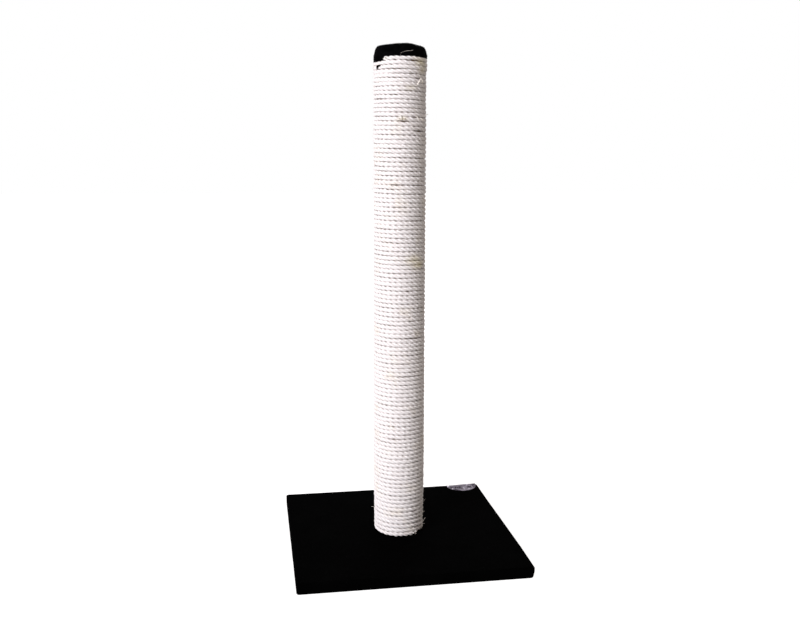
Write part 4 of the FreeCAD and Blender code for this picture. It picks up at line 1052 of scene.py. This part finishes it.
def makeWood():
    # planed pine: pale, with brown growth lines across the round, one about every 20 mm, which is
    # tau times 3.2 mm: a wave texture of scale 1 has one every tau / 20 m
    material, shader, add = newMaterial("pine, planed")
    place = add("TexCoord", {})
    turned = add("Mapping", {"Vector": place, "Location": (0.09, 0.03, 0), "Rotation": (0, 0.12, 0.35)})
    rings = add("TexWave", {"Vector": turned, "Scale": 1 / (20 * 3.2 * mm), "Distortion": 2.2,
                            "Detail": 2, "Detail Scale": 0.6}, wave_type="RINGS", rings_direction="Z")
    grain = add("TexNoise", {"Vector": turned, "Scale": 1 / (0.8 * mm), "Detail": 3})
    color = add("Mix", {0: rings, 6: "#e2c795", 7: "#c39a5e"})
    grained = tint(add, color, "#a97f48", grain, 0.45, 0.75, 0.35)
    bump = add("Bump", {"Height": grain, "Distance": 0.12 * mm, "Strength": 0.5})
    setInputs(shader, {"Base Color": grained, "Normal": bump, "Roughness": 0.62})
    return material


def makeCardboard():
    # spiral-wound kraft tube: brown paper with a seam every 118 mm, climbing once round the tube
    material, shader, add = newMaterial("kraft paper tube, spiral wound")
    place = add("TexCoord", {})
    parts = add("SeparateXYZ", {"Vector": place})
    angle = add("Math", {0: parts.outputs["Y"], 1: parts.outputs["X"]}, operation="ARCTAN2")
    turns = add("Math", {0: angle, 1: tau}, operation="DIVIDE")
    height = add("Math", {0: parts.outputs["Z"], 1: 118 * mm}, operation="DIVIDE")
    winding = add("Math", {0: height, 1: turns}, operation="ADD")
    share = add("Math", {0: winding}, operation="FRACT")
    seam = add("MapRange", {"Value": share, "From Min": 0.0, "From Max": 0.012, "To Min": 1.0,
                            "To Max": 0.0})
    fibre = add("TexNoise", {"Vector": place, "Scale": 1 / (1.6 * mm), "Detail": 5})
    kraft = add("Mix", {0: fibre, 6: "#94714a", 7: "#c19d70"})
    color = add("Mix", {0: seam, 6: kraft, 7: "#5f4529"})
    bump = add("Bump", {"Height": fibre, "Distance": 0.1 * mm, "Strength": 0.4})
    setInputs(shader, {"Base Color": color, "Normal": bump, "Roughness": 0.85})
    return material


def makeSteel(name, pale, dark, roughLow, roughHigh, spangle):
    # drawn or plated steel: a grey shine with faint blotches of the plating and fine scratches
    material, shader, add = newMaterial(name)
    place = add("TexCoord", {})
    blotch = add("TexNoise", {"Vector": place, "Scale": 1 / spangle, "Detail": 3})
    scratch = add("TexNoise", {"Vector": place, "Scale": 1 / (0.4 * mm), "Detail": 2})
    color = add("Mix", {0: blotch, 6: dark, 7: pale})
    rough = add("MapRange", {"Value": blotch, "To Min": roughLow, "To Max": roughHigh})
    bump = add("Bump", {"Height": scratch, "Distance": 0.03 * mm, "Strength": 0.4})
    setInputs(shader, {"Base Color": color, "Normal": bump, "Roughness": rough, "Metallic": 1.0})
    return material


wood = makeWood()
wire = makeSteel("galvanised steel wire", "#b9babc", "#85878a", 0.3, 0.5, 3 * mm)
nail = makeSteel("galvanised steel nail, dull", "#9d968f", "#7b746d", 0.5, 0.7, 2 * mm)
zinc = makeSteel("zinc-plated steel", "#cdd0d4", "#9da3aa", 0.22, 0.4, 5 * mm)
finishes = {
    "base_board": makeChipboard(),
    "post_tube": makeCardboard(),
    "bottom_plug": wood,
    "top_plug": wood,
    "carpet_staples": wire,
    "cap_staples": wire,
    "bottom_plug_nails": wire,
    "top_plug_nails": wire,
    "rope_nails": nail,
    "base_bolt": zinc,
    "base_washer": zinc,
    "tee_nut": zinc,
}
for name, material in finishes.items():
    for slot in nodes[name].material_slots:
        slot.material = material
print("finishes: %d nodes" % len(finishes))


# floor, light and camera

studio = {
    "sky": 0.29,                 # light from all round, a little warm
    "skyColor": "#fff1e4",
    "floorReach": 14.0,
    "floorColor": "#c6c5c3",
    "floorShine": 0.86,          # what the camera and reflections see on top of the lit floor
    "farShine": 1.1,             # and far from the post, where the lamps don't reach
    "shineFrom": 0.7,
    "shineTo": 2.6,
    # watts, degrees from +X, degrees above the floor, distance and size in metres
    "key": (885, 222.5, 20, 9.0, 3.8),
    "rear": (26, 78, 30, 3.0, 1.3),
    "keyColor": "#fbfaff",
}


def seenRays(tree):
    # 1 for rays that show the background: camera, glossy and transmission rays
    path = addNode(tree, "LightPath", {})
    total = path.outputs["Is Camera Ray"]
    for name in ("Is Glossy Ray", "Is Transmission Ray"):
        total = addNode(tree, "Math", {0: total, 1: path.outputs[name]}, operation="MAXIMUM")
    return total


def makeFloor():
    # white for the camera, because it also shines, but lit and shaded like paper
    reach, below = studio["floorReach"], -0.15 * mm
    corners = np.array([[-reach, -reach, below], [reach, -reach, below], [reach, reach, below],
                        [-reach, reach, below]])
    piece = makeMesh("floor", corners, [np.array([[0, 1, 2, 3]])])
    material, shader, add = newMaterial("white studio floor")
    away = add("VectorMath", {0: add("TexCoord", {})}, operation="LENGTH")
    shine = add("MapRange", {"Value": away, "From Min": studio["shineFrom"],
                             "From Max": studio["shineTo"],
                             "To Min": studio["floorShine"], "To Max": studio["farShine"]})
    seen = add("Math", {0: shine, 1: seenRays(material.node_tree)}, operation="MULTIPLY")
    setInputs(shader, {"Base Color": studio["floorColor"], "Roughness": 1, "Specular IOR Level": 0,
                       "Emission Color": "#ffffff", "Emission Strength": seen})
    piece.data.materials.append(material)


def makeWorld():
    # the sky lights with its own colour, but is white where it is seen
    world = bpy.data.worlds.new("studio")
    world.use_nodes = True
    bpy.context.scene.world = world
    tree = world.node_tree
    sky = [c * studio["sky"] for c in hexColor(studio["skyColor"])]
    mix = addNode(tree, "Mix", {0: seenRays(tree), 6: sky, 7: "#ffffff"})
    setInputs(tree.nodes["Background"], {"Color": mix})


def makeLamp(name, target, watts, azimuth, height, distance, size):
    lamp = bpy.data.lights.new(name, "AREA")
    lamp.energy, lamp.size = watts, size
    lamp.color = hexColor(studio["keyColor"])[:3]
    around, up = math.radians(azimuth), math.radians(height)
    way = np.array([math.cos(around) * math.cos(up), math.sin(around) * math.cos(up), math.sin(up)])
    holder = bpy.data.objects.new(name, lamp)
    bpy.context.scene.collection.objects.link(holder)
    side = np.array([-math.sin(around), math.cos(around), 0])
    place = way * distance + target
    turned = np.eye(4)
    turned[:3, 0], turned[:3, 1], turned[:3, 2], turned[:3, 3] = side, np.cross(way, side), way, place
    holder.matrix_world = Matrix(turned.tolist())


def makeCamera():
    # turned by its heading, then down by its pitch, then rolled about its own axis
    shot = {"place": (-0.2596, -1.6008, 0.7122), "heading": -9.080, "down": 9.603, "roll": 0.118,
            "lens": 41.42, "shift": (0.0037, -0.0198)}
    heading, down, roll = (math.radians(shot[k]) for k in ("heading", "down", "roll"))
    forward = np.array([-math.sin(heading) * math.cos(down), math.cos(heading) * math.cos(down),
                        -math.sin(down)])
    right = np.array([math.cos(heading), math.sin(heading), 0])
    up = np.cross(right, forward)
    turned = np.eye(4)
    turned[:3, 0] = math.cos(roll) * right + math.sin(roll) * up
    turned[:3, 1] = math.cos(roll) * up - math.sin(roll) * right
    turned[:3, 2] = -forward
    turned[:3, 3] = shot["place"]
    camera = bpy.data.cameras.new("camera")
    camera.lens, camera.sensor_width, camera.sensor_fit = shot["lens"], 36, "HORIZONTAL"
    camera.shift_x, camera.shift_y = shot["shift"]
    camera.clip_start = 0.05
    holder = bpy.data.objects.new("camera", camera)
    bpy.context.scene.collection.objects.link(holder)
    holder.matrix_world = Matrix(turned.tolist())
    bpy.context.scene.camera = holder


makeFloor()
makeWorld()
aim = np.array([0, 0, 0.45])
makeLamp("key", aim, *studio["key"])
makeLamp("rear", aim, *studio["rear"])
makeCamera()
bpy.context.scene.view_settings.view_transform = "Standard"
print("studio: done")
